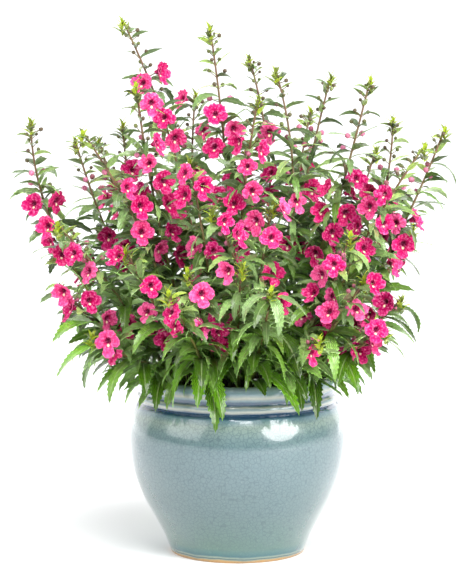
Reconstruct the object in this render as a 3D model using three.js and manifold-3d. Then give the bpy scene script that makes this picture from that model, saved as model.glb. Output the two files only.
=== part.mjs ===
// Potted angelonia: a glazed pot of soil with a bush of flowering stems.
// Millimetres, +Z up. The origin is under the middle of the pot, on the surface it stands on,
// and -Y is the side that shows the most bloom.
import * as THREE from 'three';
import { mergeVertices } from 'three/addons/utils/BufferGeometryUtils.js';
import Module from 'manifold-3d';

const wasm = await Module();
wasm.setup();

const { Vector2, Vector3 } = THREE;
const DEG = Math.PI / 180;
const UP = new Vector3(0, 0, 1);
const FRONT = -90 * DEG;
const FIT_GAP = 0.3;

// Pot
const POT_HEIGHT = 188;
const POT_SIDES = 24;
const FOOT_RADIUS = 70;
const FOOT_RING_WIDTH = 11;
const FOOT_RECESS = 3;
const WALL = 8.5;
const FLOOR = 12;
const DRAIN_RADIUS = 7;
const BODY_OUTLINE = [
  [70.5, 2.5], [76, 17], [86, 36], [99, 60], [110, 89], [114, 120], [111.3, 142], [105.5, 156],
];
const OUTER_STEPS = 7;
const INNER_STEPS = 4;
const GROOVE_RADIUS = 102.5;
const BAND_RADIUS = 105;
const LIP_RADIUS = 104.5;
const MOUTH_RADIUS = 95;
const BAND_BASE = 161;
const BAND_TOP = 167.5;
const LIP_BASE = 172.5;

// Soil
const SOIL_LEVEL = 178;

// Stems
const STEM_SIDES = 3;
const STEM_RADIUS = 2.2;
const STEM_TIP_RADIUS = 1.3;
const ROOT_SINK = 0.5;
const STEM_TIP_SWELL = 0.8;
const STEM_DEPTH = 22;
const COLLAR = 7;
const TALL_STEM = 290;
const TALL_RINGS = [0.25, 0.5, 0.75, 0.95];
const SHORT_RINGS = [0.35, 0.7, 0.94];
const FOOT_SHARE = 0.36;
const FOOT_REACH = 79;
const STEEPEST_SPREAD = 1.1;
const BALL_STEP = 5;

// Blooms
const LOBES = [[36, 11, 0.5], [108, 12, 1.5], [180, 14, 3], [252, 12, 1.5], [324, 11, 0.5]];
const NOTCH_REACH = 7;
const THROAT_DEPTH = 4.5;
const CALYX_DEPTH = 7;
const CALYX_RADIUS = 2.2;
const PEDICEL = 10;
const BLOOM_SPACING = 11.5;
const SMALLEST_BLOOM = 0.88;
const BLOOM_SIZE_RANGE = 0.22;

// Leaves and buds
const LEAF_FOLD = 0.2;
const LEAF_KEEL = 1.3;
const SMALL_LEAF = 42;
const BUD_RADIUS = 2.4;
const BUD_STALK = 11;
const BUD_DEPTH = 14;
const TIP_LEAF_PLACE = 0.96;
const TIP_LEAF_RISE = 55 * DEG;
const BUD_SIDES = 3;

// The stems, each with its tip and the slope of its top towards +X. Then come its blooms, as places along
// the stem and bearings, and its largest leaves, as places, bearings, lengths and rises. A stem at the back
// has only a number of blooms, and a rule places them.
const SPIRES = [
  [-214, 10, 449, 0, [
    [0.68, 0], [0.67, -165], [0.59, -120], [0.52, -180], [0.47, -120],
  ], [[0.72, -20, 30, 25], [0.8, 190, 26, 20]]],
  [-171, 60, 426, -0.28, [[0.58, -90], [0.53, -15], [0.45, -75]], [[0.55, -160, 34, 15]]],
  [-158, -40, 441, -0.7, [[0.77, -45], [0.69, -60], [0.6, -90], [0.53, -30]], []],
  [-122, 90, 441, -0.05, [[0.8, -60], [0.51, -60], [0.44, -30]], []],
  [-104, -30, 489, -0.12, [
    [0.92, 0], [0.79, 0], [0.73, -60], [0.66, -15], [0.63, -165], [0.59, -45], [0.5, -30], [0.42, -30],
  ], [[0.62, 200, 36, 25], [0.5, -60, 44, 5]]],
  [-120, 40, 552, -0.5, [[0.84, 0], [0.81, -120], [0.72, -90], [0.66, -90], [0.45, -165]], []],
  [-45, 130, 471, 0.1, [[0.96, -180], [0.85, -15], [0.71, -60], [0.51, -150]], []],
  [-29, 30, 545, -0.16, [
    [0.74, -120], [0.7, -30], [0.65, -150], [0.56, -45], [0.51, -120],
  ], [[0.665, 180, 38, 12], [0.58, -80, 38, -15]]],
  [12, 90, 512, -0.3, [[0.75, -75], [0.62, -90], [0.55, -90]], []],
  [21, -40, 476, 0.2, [
    [0.84, -165], [0.81, 0], [0.75, -90], [0.66, -45], [0.62, -135], [0.53, -60], [0.46, -90],
  ], [[0.7, -130, 34, 0]]],
  [39, 10, 502, -0.3, [[0.57, -75], [0.43, -105]], [[0.66, -80, 36, -15], [0.6, -20, 40, 10]]],
  [98, 60, 493, 0.26, [[0.61, -45], [0.42, -45]], [[0.68, -10, 36, 15], [0.55, -70, 40, -10]]],
  [136, -10, 494, 0.24, [
    [0.66, 0], [0.62, -180], [0.61, -60], [0.55, 0], [0.55, -180], [0.51, -75], [0.42, -135],
  ], [[0.76, 190, 30, 20], [0.6, -150, 38, 0]]],
  [164, 70, 448, 0, [[0.69, -180], [0.67, -45]], []],
  [190, -40, 427, 0.7, [
    [0.78, -120], [0.73, -180], [0.67, -30], [0.64, -180], [0.56, -60], [0.42, -150],
  ], [[0.6, -100, 38, -5]]],
  [214, 10, 441, 0.36, [
    [0.62, 0], [0.61, -105], [0.56, -180], [0.53, -45], [0.45, -15],
  ], [[0.75, -10, 34, -5], [0.62, -35, 40, 5], [0.5, -5, 46, 0], [0.86, 0, 38, 8]]],
];
const FRONT_SHOOTS = [
  [-182, -70, 350, -0.9, [[0.81, -165], [0.7, -165], [0.38, -150], [0.34, -45]], [[0.55, -170, 46, 10]]],
  [-178, -90, 290, -0.6, [
    [0.92, -105], [0.82, 0], [0.76, -165], [0.65, 0], [0.49, -60],
  ], [[0.42, -172, 70, 4], [0.75, -160, 46, -10]]],
  [-26, -110, 367, -0.6, [[0.93, -60], [0.85, -15], [0.36, -180]], [[0.7, -60, 44, -5]]],
  [-50, -150, 313, -0.3, [[0.79, -60], [0.64, 0], [0.48, -45], [0.37, -120]], []],
  [-68, -178, 295, -0.4, [[0.78, -135], [0.64, -165], [0.62, 0]], []],
  [4, -150, 318, 0.1, [[0.92, -180]], [[0.75, -120, 46, 5], [0.8, -30, 46, 5]]],
  [32, -178, 297, 0.1, [
    [0.84, 0],
  ], [
    [0.95, -165, 44, 10], [0.94, -15, 44, 5], [0.93, -65, 48, -5], [0.9, -115, 46, 0],
    [0.55, -150, 50, 0], [0.5, -30, 56, 5],
  ]],
  [35, -90, 373, 0.2, [
    [0.94, 0], [0.89, -180], [0.8, -90], [0.61, 0],
  ], [[0.88, -130, 36, 0], [0.84, -40, 38, 5]]],
  [112, -110, 344, 0.3, [
    [0.8, -120], [0.72, -180], [0.6, -180], [0.58, -45], [0.48, -75], [0.46, -180], [0.38, -15],
    [0.35, -180],
  ], [[0.9, -20, 36, 5]]],
  [125, -130, 304, 0.4, [[0.92, 0], [0.69, -15], [0.66, -165]], [[0.5, -80, 60, -10]]],
  [80, -150, 245, 0.5, [[0.69, -75]], [[0.7, -70, 52, -15]]],
  [165, -75, 275, 0.7, [
    [0.92, -150], [0.78, -165], [0.65, -180], [0.45, -15],
  ], [[0.9, 0, 44, 12], [0.8, -30, 46, -5], [0.72, 15, 50, 0]]],
  [-49, -60, 413, -0.2, [
    [0.93, -135], [0.87, -45], [0.84, -165], [0.61, -165], [0.59, -45], [0.5, -180],
  ], []],
  [-112, -120, 330, -0.5, [[0.92, -180], [0.74, -60], [0.55, -165], [0.34, -135]], []],
  [-147, -105, 243, -0.8, [[0.8, -105], [0.63, -150]], [[0.55, -155, 60, -8], [0.9, -170, 40, 5]]],
  [147, -115, 250, 0.8, [
    [0.91, -105], [0.72, -30], [0.58, -30], [0.46, 0],
  ], [[0.85, -15, 44, 0], [0.5, -60, 50, -10]]],
];
const BACK_SHOOTS = [
  [-150, 145, 420, -0.3, 4, []],
  [-70, 175, 440, -0.2, 5, []],
  [10, 180, 410, 0.1, 4, []],
  [80, 170, 450, 0.2, 5, []],
  [150, 140, 410, 0.3, 4, []],
  [-20, 190, 330, -0.1, 4, [[0.85, 90, 24, 15]]],
  [120, 175, 320, 0.4, 4, []],
  [-115, 175, 310, -0.4, 4, []],
  [187, 86, 332, 0.7, 4, []],
  [-190, 95, 330, -0.7, 4, []],
];

// Short leafy shoots that lean over the rim, by their bearing in degrees from +X
const RIM_BEARINGS = [-108, -68, -42, -138, 178, 138, 98, 58, 18];
// The toothed leaves that hang over the lip in front, listed by stem, each with its place along the stem, its
// bearing, its length, how steeply it rises and how far it bends
const LIP_LEAVES = {
  front_shoot_2: [[0.26, -138, 72, 8, 60], [0.61, -126, 80, 24, 60]],
  front_shoot_5: [[0.19, -78, 72, -16, 75], [0.26, -60, 64, -24, 60], [0.3, -96, 64, -8, 60]],
  front_shoot_6: [[0.26, -120, 64, 8, 75]],
  front_shoot_7: [[0.23, -48, 80, 0, 60], [0.12, -78, 64, 16, 45]],
  front_shoot_10: [[0.15, -84, 64, 0, 60]],
  front_shoot_12: [[0.53, -66, 56, -8, 45]],
  front_shoot_15: [[0.83, -150, 64, 0, 60], [0.29, -96, 64, -8, 45], [0.47, -84, 56, 0, 60]],
  front_shoot_16: [[0.27, -84, 64, -8, 75], [0.53, -72, 64, 0, 60], [0.62, -108, 56, -8, 45]],
  rim_shoot_2: [[0.92, -66, 80, 8, 75]],
};
const RIM_SHOOT_REACH = 97;
const RIM_SHOOT_TOP = 246;
const RIM_FOOT_SHARE = 0.7;

// Solids from rings of points, and their joins and cuts

function toSolid(geometry) {
  const bare = geometry.clone();
  bare.deleteAttribute('normal');
  bare.deleteAttribute('uv');
  const merged = mergeVertices(bare, 1e-3);
  const { array } = merged.attributes.position;
  const corners = [...merged.index.array];
  const kept = [];
  let volume = 0;
  for (let i = 0; i < corners.length; i += 3) {
    const [a, b, c] = corners.slice(i, i + 3);
    if (a === b || b === c || c === a) continue;
    kept.push([a, b, c]);
    const [p, q, r] = [a, b, c].map((k) => new Vector3().fromArray(array, 3 * k));
    volume += p.dot(q.cross(r));
  }
  const triVerts = Uint32Array.from(kept.flatMap(([a, b, c]) => (volume > 0 ? [a, b, c] : [a, c, b])));
  return new wasm.Manifold(new wasm.Mesh({ numProp: 3, vertProperties: array, triVerts }));
}

// Skins a row of rings that hold the same number of points. A ring whose points
// all coincide is a tip, and the first and last ring are closed by a flat cap.
function loft(rings) {
  const count = rings[0].length;
  const index = [];
  for (let k = 0; k + 1 < rings.length; k += 1) {
    for (let i = 0; i < count; i += 1) {
      const a = k * count + i;
      const b = k * count + ((i + 1) % count);
      index.push(a, b, a + count, b, b + count, a + count);
    }
  }
  const last = (rings.length - 1) * count;
  for (let i = 1; i + 1 < count; i += 1) {
    index.push(0, i + 1, i, last, last + i, last + i + 1);
  }
  const geometry = new THREE.BufferGeometry();
  const positions = rings.flat().flatMap((point) => point.toArray());
  geometry.setAttribute('position', new THREE.Float32BufferAttribute(positions, 3));
  geometry.setIndex(index);
  return toSolid(geometry);
}

function revolve(outline) {
  const profile = outline.map(([radius, height]) => new Vector2(radius, height));
  return toSolid(new THREE.LatheGeometry(profile, POT_SIDES).rotateX(Math.PI / 2));
}

function toMesh(name, solid, material, place = new Vector3()) {
  const { vertProperties, triVerts } = solid.getMesh();
  const geometry = new THREE.BufferGeometry();
  geometry.setAttribute('position', new THREE.BufferAttribute(vertProperties, 3));
  geometry.setIndex(new THREE.BufferAttribute(triVerts, 1));
  geometry.translate(-place.x, -place.y, -place.z);
  geometry.computeVertexNormals();
  const mesh = new THREE.Mesh(geometry, material);
  mesh.name = name;
  mesh.position.copy(place);
  return mesh;
}

// Pot and soil outlines, as pairs of radius and height

function bodyCurve(steps) {
  const curve = new THREE.SplineCurve(BODY_OUTLINE.map(([r, z]) => new Vector2(r, z)));
  return curve.getPoints(steps).map((point) => [point.x, point.y]);
}

function innerWall(gap) {
  return bodyCurve(INNER_STEPS).slice(1).map(([r, z]) => [r - WALL - gap, z]);
}

function potOutline() {
  const footInside = FOOT_RADIUS - FOOT_RING_WIDTH;
  const grooveBelow = (BODY_OUTLINE.at(-1)[1] + BAND_BASE) / 2;
  const grooveAbove = (BAND_TOP + LIP_BASE) / 2;
  const lipMiddle = (LIP_RADIUS + MOUTH_RADIUS) / 2;
  return [
    [DRAIN_RADIUS, FOOT_RECESS],
    [footInside - 1, FOOT_RECESS],
    [footInside, 0],
    [FOOT_RADIUS - 1, 0],
    ...bodyCurve(OUTER_STEPS),
    [GROOVE_RADIUS, grooveBelow],
    [BAND_RADIUS, BAND_BASE],
    [BAND_RADIUS, BAND_TOP],
    [GROOVE_RADIUS, grooveAbove],
    [LIP_RADIUS, LIP_BASE],
    [LIP_RADIUS, POT_HEIGHT - 4],
    [lipMiddle + 1, POT_HEIGHT],
    [lipMiddle - 2, POT_HEIGHT],
    [MOUTH_RADIUS, POT_HEIGHT - 4],
    [MOUTH_RADIUS, SOIL_LEVEL],
    ...innerWall(0).reverse(),
    [FOOT_RADIUS - WALL, FLOOR],
    [DRAIN_RADIUS, FLOOR],
    [DRAIN_RADIUS, FOOT_RECESS],
  ];
}

function soilOutline() {
  return [
    [0, FLOOR + FIT_GAP],
    [FOOT_RADIUS - WALL - FIT_GAP, FLOOR + FIT_GAP],
    ...innerWall(FIT_GAP),
    [MOUTH_RADIUS - FIT_GAP, SOIL_LEVEL],
    [0, SOIL_LEVEL],
  ];
}

function levelHeading(bearing) {
  return new Vector3(Math.cos(bearing), Math.sin(bearing), 0);
}

// Room around each piece, kept as balls, so that no stem's pieces reach another's

const CLEARANCE = 0.6;
const OWN_SHARE = 0.9;
const placedBalls = [];

function ball(centre, radius, owner, near = false) {
  return { centre, radius, owner, near };
}

function clearOfPot({ centre, radius }) {
  const { z } = centre;
  const reach = Math.hypot(centre.x, centre.y);
  if (z - radius > POT_HEIGHT + 0.5) return true;
  if (reach > LIP_RADIUS) {
    const wall = Math.min(BODY_OUTLINE[5][0], LIP_RADIUS + 0.5 + 0.45 * Math.max(0, 155 - z));
    return reach - radius > wall + CLEARANCE;
  }
  return reach + radius < MOUTH_RADIUS - 1 && z - radius > SOIL_LEVEL + 0.5;
}

function clearOfPlant(balls) {
  return balls.every((mine) => placedBalls.every((other) => {
    const sum = mine.radius + other.radius;
    if (mine.owner !== other.owner) {
      return mine.centre.distanceToSquared(other.centre) >= (sum + CLEARANCE) ** 2;
    }
    if (mine.near || other.near) return true;
    return mine.centre.distanceToSquared(other.centre) >= (OWN_SHARE * sum) ** 2;
  }));
}

function settle(piece) {
  placedBalls.push(...piece.balls);
  return piece;
}

// A stream of repeatable draws between 0 and 1
function draws(seed) {
  let state = seed;
  return () => {
    state = (state * 16807) % 2147483647;
    return state / 2147483647;
  };
}

// Stems

function bezier([a, b, c, d], t) {
  const s = 1 - t;
  return new Vector3()
    .addScaledVector(a, s * s * s)
    .addScaledVector(b, 3 * s * s * t)
    .addScaledVector(c, 3 * s * t * t)
    .addScaledVector(d, t * t * t);
}

function bezierHeading([a, b, c, d], t) {
  const s = 1 - t;
  return new Vector3()
    .addScaledVector(a, -s * s)
    .addScaledVector(b, s * s - 2 * s * t)
    .addScaledVector(c, 2 * s * t - t * t)
    .addScaledVector(d, t * t)
    .normalize();
}

function stemAt(foot, tip, lean, owner) {
  const height = tip.z - foot.z;
  const slope = new Vector2((2 * (tip.x - foot.x)) / height - lean, (1.6 * (tip.y - foot.y)) / height);
  slope.multiplyScalar(Math.min(1, STEEPEST_SPREAD / Math.max(slope.length(), 1e-6)));
  const start = foot.clone().add(new Vector3(slope.x, slope.y, 1).multiplyScalar(0.33 * height));
  const topSlope = new Vector3(lean, (0.4 * (tip.y - foot.y)) / height, 1);
  const end = tip.clone().addScaledVector(topSlope, -0.33 * height);
  const curve = [foot, start, end, tip];
  const heading = bezierHeading(curve, 0);
  const base = foot.clone().addScaledVector(heading, -STEM_DEPTH);
  const collar = foot.clone().addScaledVector(heading, COLLAR);
  const length = foot.distanceTo(tip);
  const rings = length > TALL_STEM ? TALL_RINGS : SHORT_RINGS;
  const places = [COLLAR / length, ...rings, 1];
  const points = [collar, ...rings.map((t) => bezier(curve, t)), tip];
  const stem = { owner, curve, base, places, points, length, heading, balls: [] };
  const count = Math.ceil(length / BALL_STEP);
  for (let k = 0; k <= count; k += 1) {
    const t = k / count;
    stem.balls.push(ball(stemPoint(stem, t), stemRadius(t) + 0.3, owner, true));
  }
  for (let depth = 0; depth <= STEM_DEPTH; depth += BALL_STEP) {
    const buried = foot.clone().addScaledVector(heading, -depth);
    stem.balls.push(ball(buried, STEM_RADIUS + FIT_GAP, owner, true));
  }
  return stem;
}

// The stem's rings are joined by straight runs, and its leaves and blooms sit on those
function stemPoint({ places, points }, t) {
  const first = Math.max(0, places.findLastIndex((place, k) => place <= t && k + 1 < places.length));
  const share = (t - places[first]) / (places[first + 1] - places[first]);
  return points[first].clone().lerp(points[first + 1], share);
}

function stemRadius(t) {
  return STEM_RADIUS + (STEM_TIP_RADIUS - STEM_RADIUS) * t;
}

// The foot is the first free place on a spiral out of the point under the tip's share
function plantStem(tip, lean, owner, footShare = FOOT_SHARE) {
  const share = Math.min(footShare, FOOT_REACH / Math.hypot(tip.x, tip.y));
  for (let n = 0; n < 400; n += 1) {
    const turn = n * 2.4;
    const step = 1.7 * Math.sqrt(n);
    const x = tip.x * share + step * Math.cos(turn);
    const y = tip.y * share + step * Math.sin(turn);
    if (Math.hypot(x, y) > FOOT_REACH) continue;
    const stem = stemAt(new Vector3(x, y, SOIL_LEVEL), tip, lean, owner);
    if (clearOfPlant(stem.balls)) return settle(stem);
  }
  throw new Error(`no room for stem ${owner}`);
}

// Leaves, blooms and buds each start on the stem's middle line and head off at a bearing

function leafSection(leaf, s, halfWidth, keel) {
  const angle = leaf.rise - leaf.bend * s;
  const reach = (leaf.length * (Math.sin(leaf.rise) - Math.sin(angle))) / leaf.bend;
  const lift = (leaf.length * (Math.cos(angle) - Math.cos(leaf.rise))) / leaf.bend;
  const out = levelHeading(leaf.bearing);
  const flat = new Vector3(-out.y, out.x, 0);
  const upright = out.clone().multiplyScalar(-Math.sin(angle)).addScaledVector(UP, Math.cos(angle));
  const side = flat.clone().multiplyScalar(Math.cos(leaf.roll)).addScaledVector(upright, Math.sin(leaf.roll));
  const normal = upright.multiplyScalar(Math.cos(leaf.roll)).addScaledVector(flat, -Math.sin(leaf.roll));
  const middle = leaf.root.clone().addScaledVector(out, reach).addScaledVector(UP, lift);
  const raised = middle.clone().addScaledVector(normal, LEAF_FOLD * halfWidth);
  return [
    raised.clone().addScaledVector(side, halfWidth),
    raised.clone().addScaledVector(side, -halfWidth),
    middle.clone().addScaledVector(normal, -keel),
  ];
}

function leafHalfWidth(leaf, s) {
  const full = Math.sin(Math.PI * Math.min(1, 0.08 + 0.92 * s) ** 0.85);
  return Math.max(0.4, leaf.halfWidth * full);
}

function addLeafBalls(leaf) {
  const count = Math.ceil(leaf.length / 6);
  for (let k = 1; k <= count; k += 1) {
    const s = k / count;
    const halfWidth = leafHalfWidth(leaf, s);
    const [left, right, keel] = leafSection(leaf, s, halfWidth, 0);
    const near = s * leaf.length < 12;
    const radius = 1.2 + 0.2 * halfWidth;
    leaf.balls.push(ball(keel, radius, leaf.owner, near));
    if (halfWidth > 2.5) {
      leaf.balls.push(ball(left.lerp(keel, 0.3), radius, leaf.owner, near));
      leaf.balls.push(ball(right.lerp(keel, 0.3), radius, leaf.owner, near));
    }
  }
  return leaf;
}

// The stalk leaves the stem at its bearing, and the face turns from there towards the stem's open side
function bloomFrame({ bearing, openSide, tilt, root }) {
  const out = levelHeading(bearing);
  const ahead = levelHeading(turnTowards(bearing, openSide, 0.5));
  const facing = ahead.clone().multiplyScalar(Math.cos(tilt)).addScaledVector(UP, Math.sin(tilt));
  const across = new Vector3(-ahead.y, ahead.x, 0);
  const top = facing.clone().cross(across);
  const calyx = root.clone().addScaledVector(out, PEDICEL * 0.87).addScaledVector(UP, PEDICEL * 0.5);
  const centre = calyx.clone().addScaledVector(facing, CALYX_DEPTH);
  return { facing, across, top, calyx, centre };
}

function onBloom({ centre, across, top, facing }, turn, reach, forward) {
  return centre.clone()
    .addScaledVector(across, reach * Math.sin(turn * DEG))
    .addScaledVector(top, reach * Math.cos(turn * DEG))
    .addScaledVector(facing, forward);
}

function addBloomBalls(bloom) {
  const frame = bloomFrame(bloom);
  LOBES.forEach(([turn, reach, forward]) => {
    const middle = onBloom(frame, turn, 0.62 * bloom.size * reach, 0.4 * forward - 1);
    bloom.balls.push(ball(middle, 0.45 * bloom.size * reach, bloom.owner));
  });
  bloom.balls.push(ball(onBloom(frame, 0, 0, -THROAT_DEPTH), 3.2, bloom.owner));
  bloom.balls.push(ball(frame.calyx.clone().lerp(bloom.root, 0.4), 1.6, bloom.owner, true));
  return bloom;
}

function addBudBalls(bud) {
  bud.balls.push(ball(budPoint(bud, 1), BUD_RADIUS + 0.3, bud.owner));
  bud.balls.push(ball(budPoint(bud, 0.55), 1, bud.owner, true));
  return bud;
}

function budPoint({ root, bearing, rise, length }, s) {
  const out = levelHeading(bearing);
  return root.clone()
    .addScaledVector(out, s * length * Math.cos(rise))
    .addScaledVector(UP, s * length * Math.sin(rise));
}

const TURNS = [0, 25, -25, 50, -50, 80, -80, 110, -110];
const SHIFTS = [0, 0.02, -0.02, 0.04, -0.04];

// Tries one piece at a few places and bearings, and keeps the first that has room
function place(stem, t, bearing, make) {
  for (const shift of SHIFTS) {
    for (const turn of TURNS) {
      const root = stemPoint(stem, Math.min(0.99, t + shift));
      const piece = make(root, bearing + turn * DEG);
      if (piece.balls.every(clearOfPot) && clearOfPlant(piece.balls)) return settle(piece);
    }
  }
  return null;
}

function turnTowards(bearing, goal, share) {
  const offset = Math.atan2(Math.sin(bearing - goal), Math.cos(bearing - goal));
  return goal + share * offset;
}

const GOLDEN_TURN = 137.5 * DEG;

// The blooms of a stem at the back spiral down from under its buds
function spiralSpots(stem, count) {
  const first = draws(7919 * (stem.owner + 1))() * 2 * Math.PI;
  const budRun = Math.min(85, Math.max(18, 0.3 * stem.length - 18));
  return Array.from({ length: count }, (_, k) => [
    1 - (budRun + k * BLOOM_SPACING) / stem.length,
    turnTowards(first + k * GOLDEN_TURN, stem.openSide, 0.65) / DEG,
  ]);
}

function placeBlooms(stem, spots) {
  const draw = draws(15887 * (stem.owner + 1));
  const { owner, openSide } = stem;
  return spots.map(([t, degrees]) => {
    const tilt = (draw() - 0.35) * 30 * DEG;
    const size = SMALLEST_BLOOM + BLOOM_SIZE_RANGE * draw();
    return place(stem, t, degrees * DEG, (root, bearing) => addBloomBalls({
      root, bearing, openSide, tilt, size, owner, balls: [],
    }));
  }).filter(Boolean);
}

function placeLeaf(stem, draw, t, bearing, length, rise) {
  const halfWidth = length * (0.1 + 0.03 * draw());
  const bend = (55 + 65 * draw()) * DEG;
  const roll = (draw() - 0.5) * 70 * DEG;
  return place(stem, t, bearing, (root, turned) => addLeafBalls({
    root, bearing: turned, length, halfWidth, rise, bend, roll, owner: stem.owner, balls: [],
  }));
}

function placeLargeLeaves(stem) {
  const draw = draws(104729 * (stem.owner + 1));
  const [foot, , , tip] = stem.curve;
  const outward = Math.atan2(tip.y - foot.y, tip.x - foot.x);
  const leaves = stem.leafSpots.map(([t, degrees, length, rise]) => (
    placeLeaf(stem, draw, t, degrees * DEG, length, rise * DEG)
  ));
  const first = draw() * 2 * Math.PI;
  const spire = stem.length > TALL_STEM && stem.openSide === FRONT;
  (spire ? [0.27, 0.45, 0.5, 0.8] : [0.26, 0.29, 0.46, 0.5, 0.7]).forEach((t, k) => {
    const bearing = turnTowards(first + k * 137 * DEG, outward, 0.8);
    const length = 66 - 52 * (t - 0.2) + 8 * draw();
    const rise = (15 + 35 * draw()) * DEG;
    leaves.push(placeLeaf(stem, draw, t, bearing, length, rise));
  });
  return leaves.filter(Boolean);
}

function placeTipLeaf(stem) {
  const draw = draws(15485863 * (stem.owner + 1));
  const bearing = draw() * 2 * Math.PI;
  const length = 18 + 6 * draw();
  return [placeLeaf(stem, draw, TIP_LEAF_PLACE, bearing, length, TIP_LEAF_RISE)].filter(Boolean);
}

function placeBud(stem) {
  if (stem.length < TALL_STEM) return [];
  const draw = draws(32452843 * (stem.owner + 1));
  const { owner } = stem;
  const first = draw() * 2 * Math.PI;
  const rise = (15 + 30 * draw()) * DEG;
  const bud = place(stem, 1 - BUD_DEPTH / stem.length, first, (root, bearing) => addBudBalls({
    root, bearing, rise, length: BUD_STALK, owner, balls: [],
  }));
  return [bud].filter(Boolean);
}

function placeToothedLeaf(stem, draw, t, bearing, length, rise, bend) {
  const halfWidth = length * (0.115 + 0.02 * draw());
  return place(stem, t, bearing, (root, turned) => addLeafBalls({
    root, bearing: turned, length, halfWidth, rise, bend, roll: 0, toothed: true, owner: stem.owner, balls: [],
  }));
}

function placeLipLeaves(stem, rows) {
  const draw = draws(86028121 * (stem.owner + 1));
  return rows.map(([t, degrees, length, rise, bend]) => (
    placeToothedLeaf(stem, draw, t, degrees * DEG, length, rise * DEG, bend * DEG)
  )).filter(Boolean);
}

function placeRimLeaves(stem) {
  const draw = draws(49979687 * (stem.owner + 1));
  return [[0.7, 0, -25], [0.96, -50, -25], [0.9, 50, -10], [0.5, 0, 30]].map(([t, turn, lowest]) => {
    const length = 62 + 16 * draw();
    const rise = (lowest + 12 * draw()) * DEG;
    const bend = (60 + 35 * draw()) * DEG;
    return placeToothedLeaf(stem, draw, t, stem.bearing + turn * DEG, length, rise, bend);
  }).filter(Boolean);
}

// Shapes of the stem and of what grows on it

function ringAround(centre, heading, radius, sides = STEM_SIDES) {
  const across = new Vector3(0, 1, 0).cross(heading).normalize();
  const forward = heading.clone().cross(across);
  return Array.from({ length: sides }, (_, k) => centre.clone()
    .addScaledVector(across, radius * Math.cos((2 * Math.PI * k) / sides))
    .addScaledVector(forward, radius * Math.sin((2 * Math.PI * k) / sides)));
}

function stemSolid({ curve, base, places, points, heading }) {
  const inner = places.slice(1, -1).map((t, k) => {
    const swell = k + 3 === places.length ? STEM_TIP_SWELL : 0;
    return ringAround(points[k + 1], bezierHeading(curve, t), stemRadius(t) + swell);
  });
  return loft([
    ringAround(base, heading, STEM_RADIUS),
    ringAround(points[0], heading, STEM_RADIUS),
    ...inner,
    ringAround(points.at(-1), heading, 0),
  ]);
}

function holeSolid({ curve, heading }) {
  const [foot] = curve;
  const radius = STEM_RADIUS + FIT_GAP / Math.cos(Math.PI / STEM_SIDES);
  const ends = [-STEM_DEPTH - FIT_GAP, COLLAR];
  return loft(ends.map((along) => ringAround(foot.clone().addScaledVector(heading, along), heading, radius)));
}

// Every piece tapers to a point that is sunk a little past the stem's middle line
function sunkRoot({ root, bearing }, count) {
  const sunk = root.clone().addScaledVector(levelHeading(bearing), -ROOT_SINK);
  return Array(count).fill(sunk);
}

function leafSolid(leaf) {
  const toothed = [[0.28, 1.1], [0.5, 0.9], [0.72, 1.15]];
  const plain = leaf.length < SMALL_LEAF ? [[0.45, 1]] : [[0.3, 1], [0.66, 1]];
  const blade = (leaf.toothed ? toothed : plain).map(([s, swell]) => (
    leafSection(leaf, s, swell * leafHalfWidth(leaf, s), LEAF_KEEL)
  ));
  return loft([sunkRoot(leaf, 3), ...blade, leafSection(leaf, 1, 0, 0)]);
}

function bloomSolid(bloom) {
  const frame = bloomFrame(bloom);
  const rim = LOBES.flatMap(([turn, reach, forward]) => [
    onBloom(frame, turn, bloom.size * reach, forward),
    onBloom(frame, turn + 36, bloom.size * NOTCH_REACH, 0),
  ]);
  const calyx = rim.map((point, k) => {
    const third = Math.floor((3 * k) / rim.length);
    return onBloom(frame, 90 + 120 * third, CALYX_RADIUS, -CALYX_DEPTH);
  });
  const throat = rim.map(() => onBloom(frame, 0, 0, -THROAT_DEPTH));
  return loft([sunkRoot(bloom, rim.length), calyx, rim, throat]);
}

function budSolid(bud) {
  const end = budPoint(bud, 1);
  const stalk = end.clone().sub(bud.root).normalize();
  return loft([
    sunkRoot(bud, BUD_SIDES),
    ringAround(budPoint(bud, 0.75), stalk, 0.5, BUD_SIDES),
    ringAround(end, stalk, BUD_RADIUS, BUD_SIDES),
    ringAround(end.clone().addScaledVector(stalk, 2), stalk, 0, BUD_SIDES),
  ]);
}

// The plant: every stem first, then the blooms, leaves and buds that find room on it

const tallStems = [...SPIRES, ...FRONT_SHOOTS, ...BACK_SHOOTS].map(([x, y, z, lean, blooms, leafSpots], k) => {
  const stem = plantStem(new Vector3(x, y, z), lean, k);
  const openSide = Array.isArray(blooms) ? FRONT : Math.atan2(y - 70, x);
  return { ...stem, openSide, blooms, leafSpots };
});
const rimStems = RIM_BEARINGS.map((degrees, k) => {
  const bearing = degrees * DEG;
  const reach = RIM_SHOOT_REACH;
  const tip = new Vector3(reach * Math.cos(bearing), reach * Math.sin(bearing), RIM_SHOOT_TOP);
  const stem = plantStem(tip, 0.5 * Math.cos(bearing), tallStems.length + k, RIM_FOOT_SHARE);
  return { ...stem, bearing };
});

const stems = [...tallStems, ...rimStems];
const shootNames = [
  ...SPIRES.map((row, k) => `spire_${k + 1}`),
  ...FRONT_SHOOTS.map((row, k) => `front_shoot_${k + 1}`),
  ...BACK_SHOOTS.map((row, k) => `back_shoot_${k + 1}`),
  ...RIM_BEARINGS.map((row, k) => `rim_shoot_${k + 1}`),
];

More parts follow.
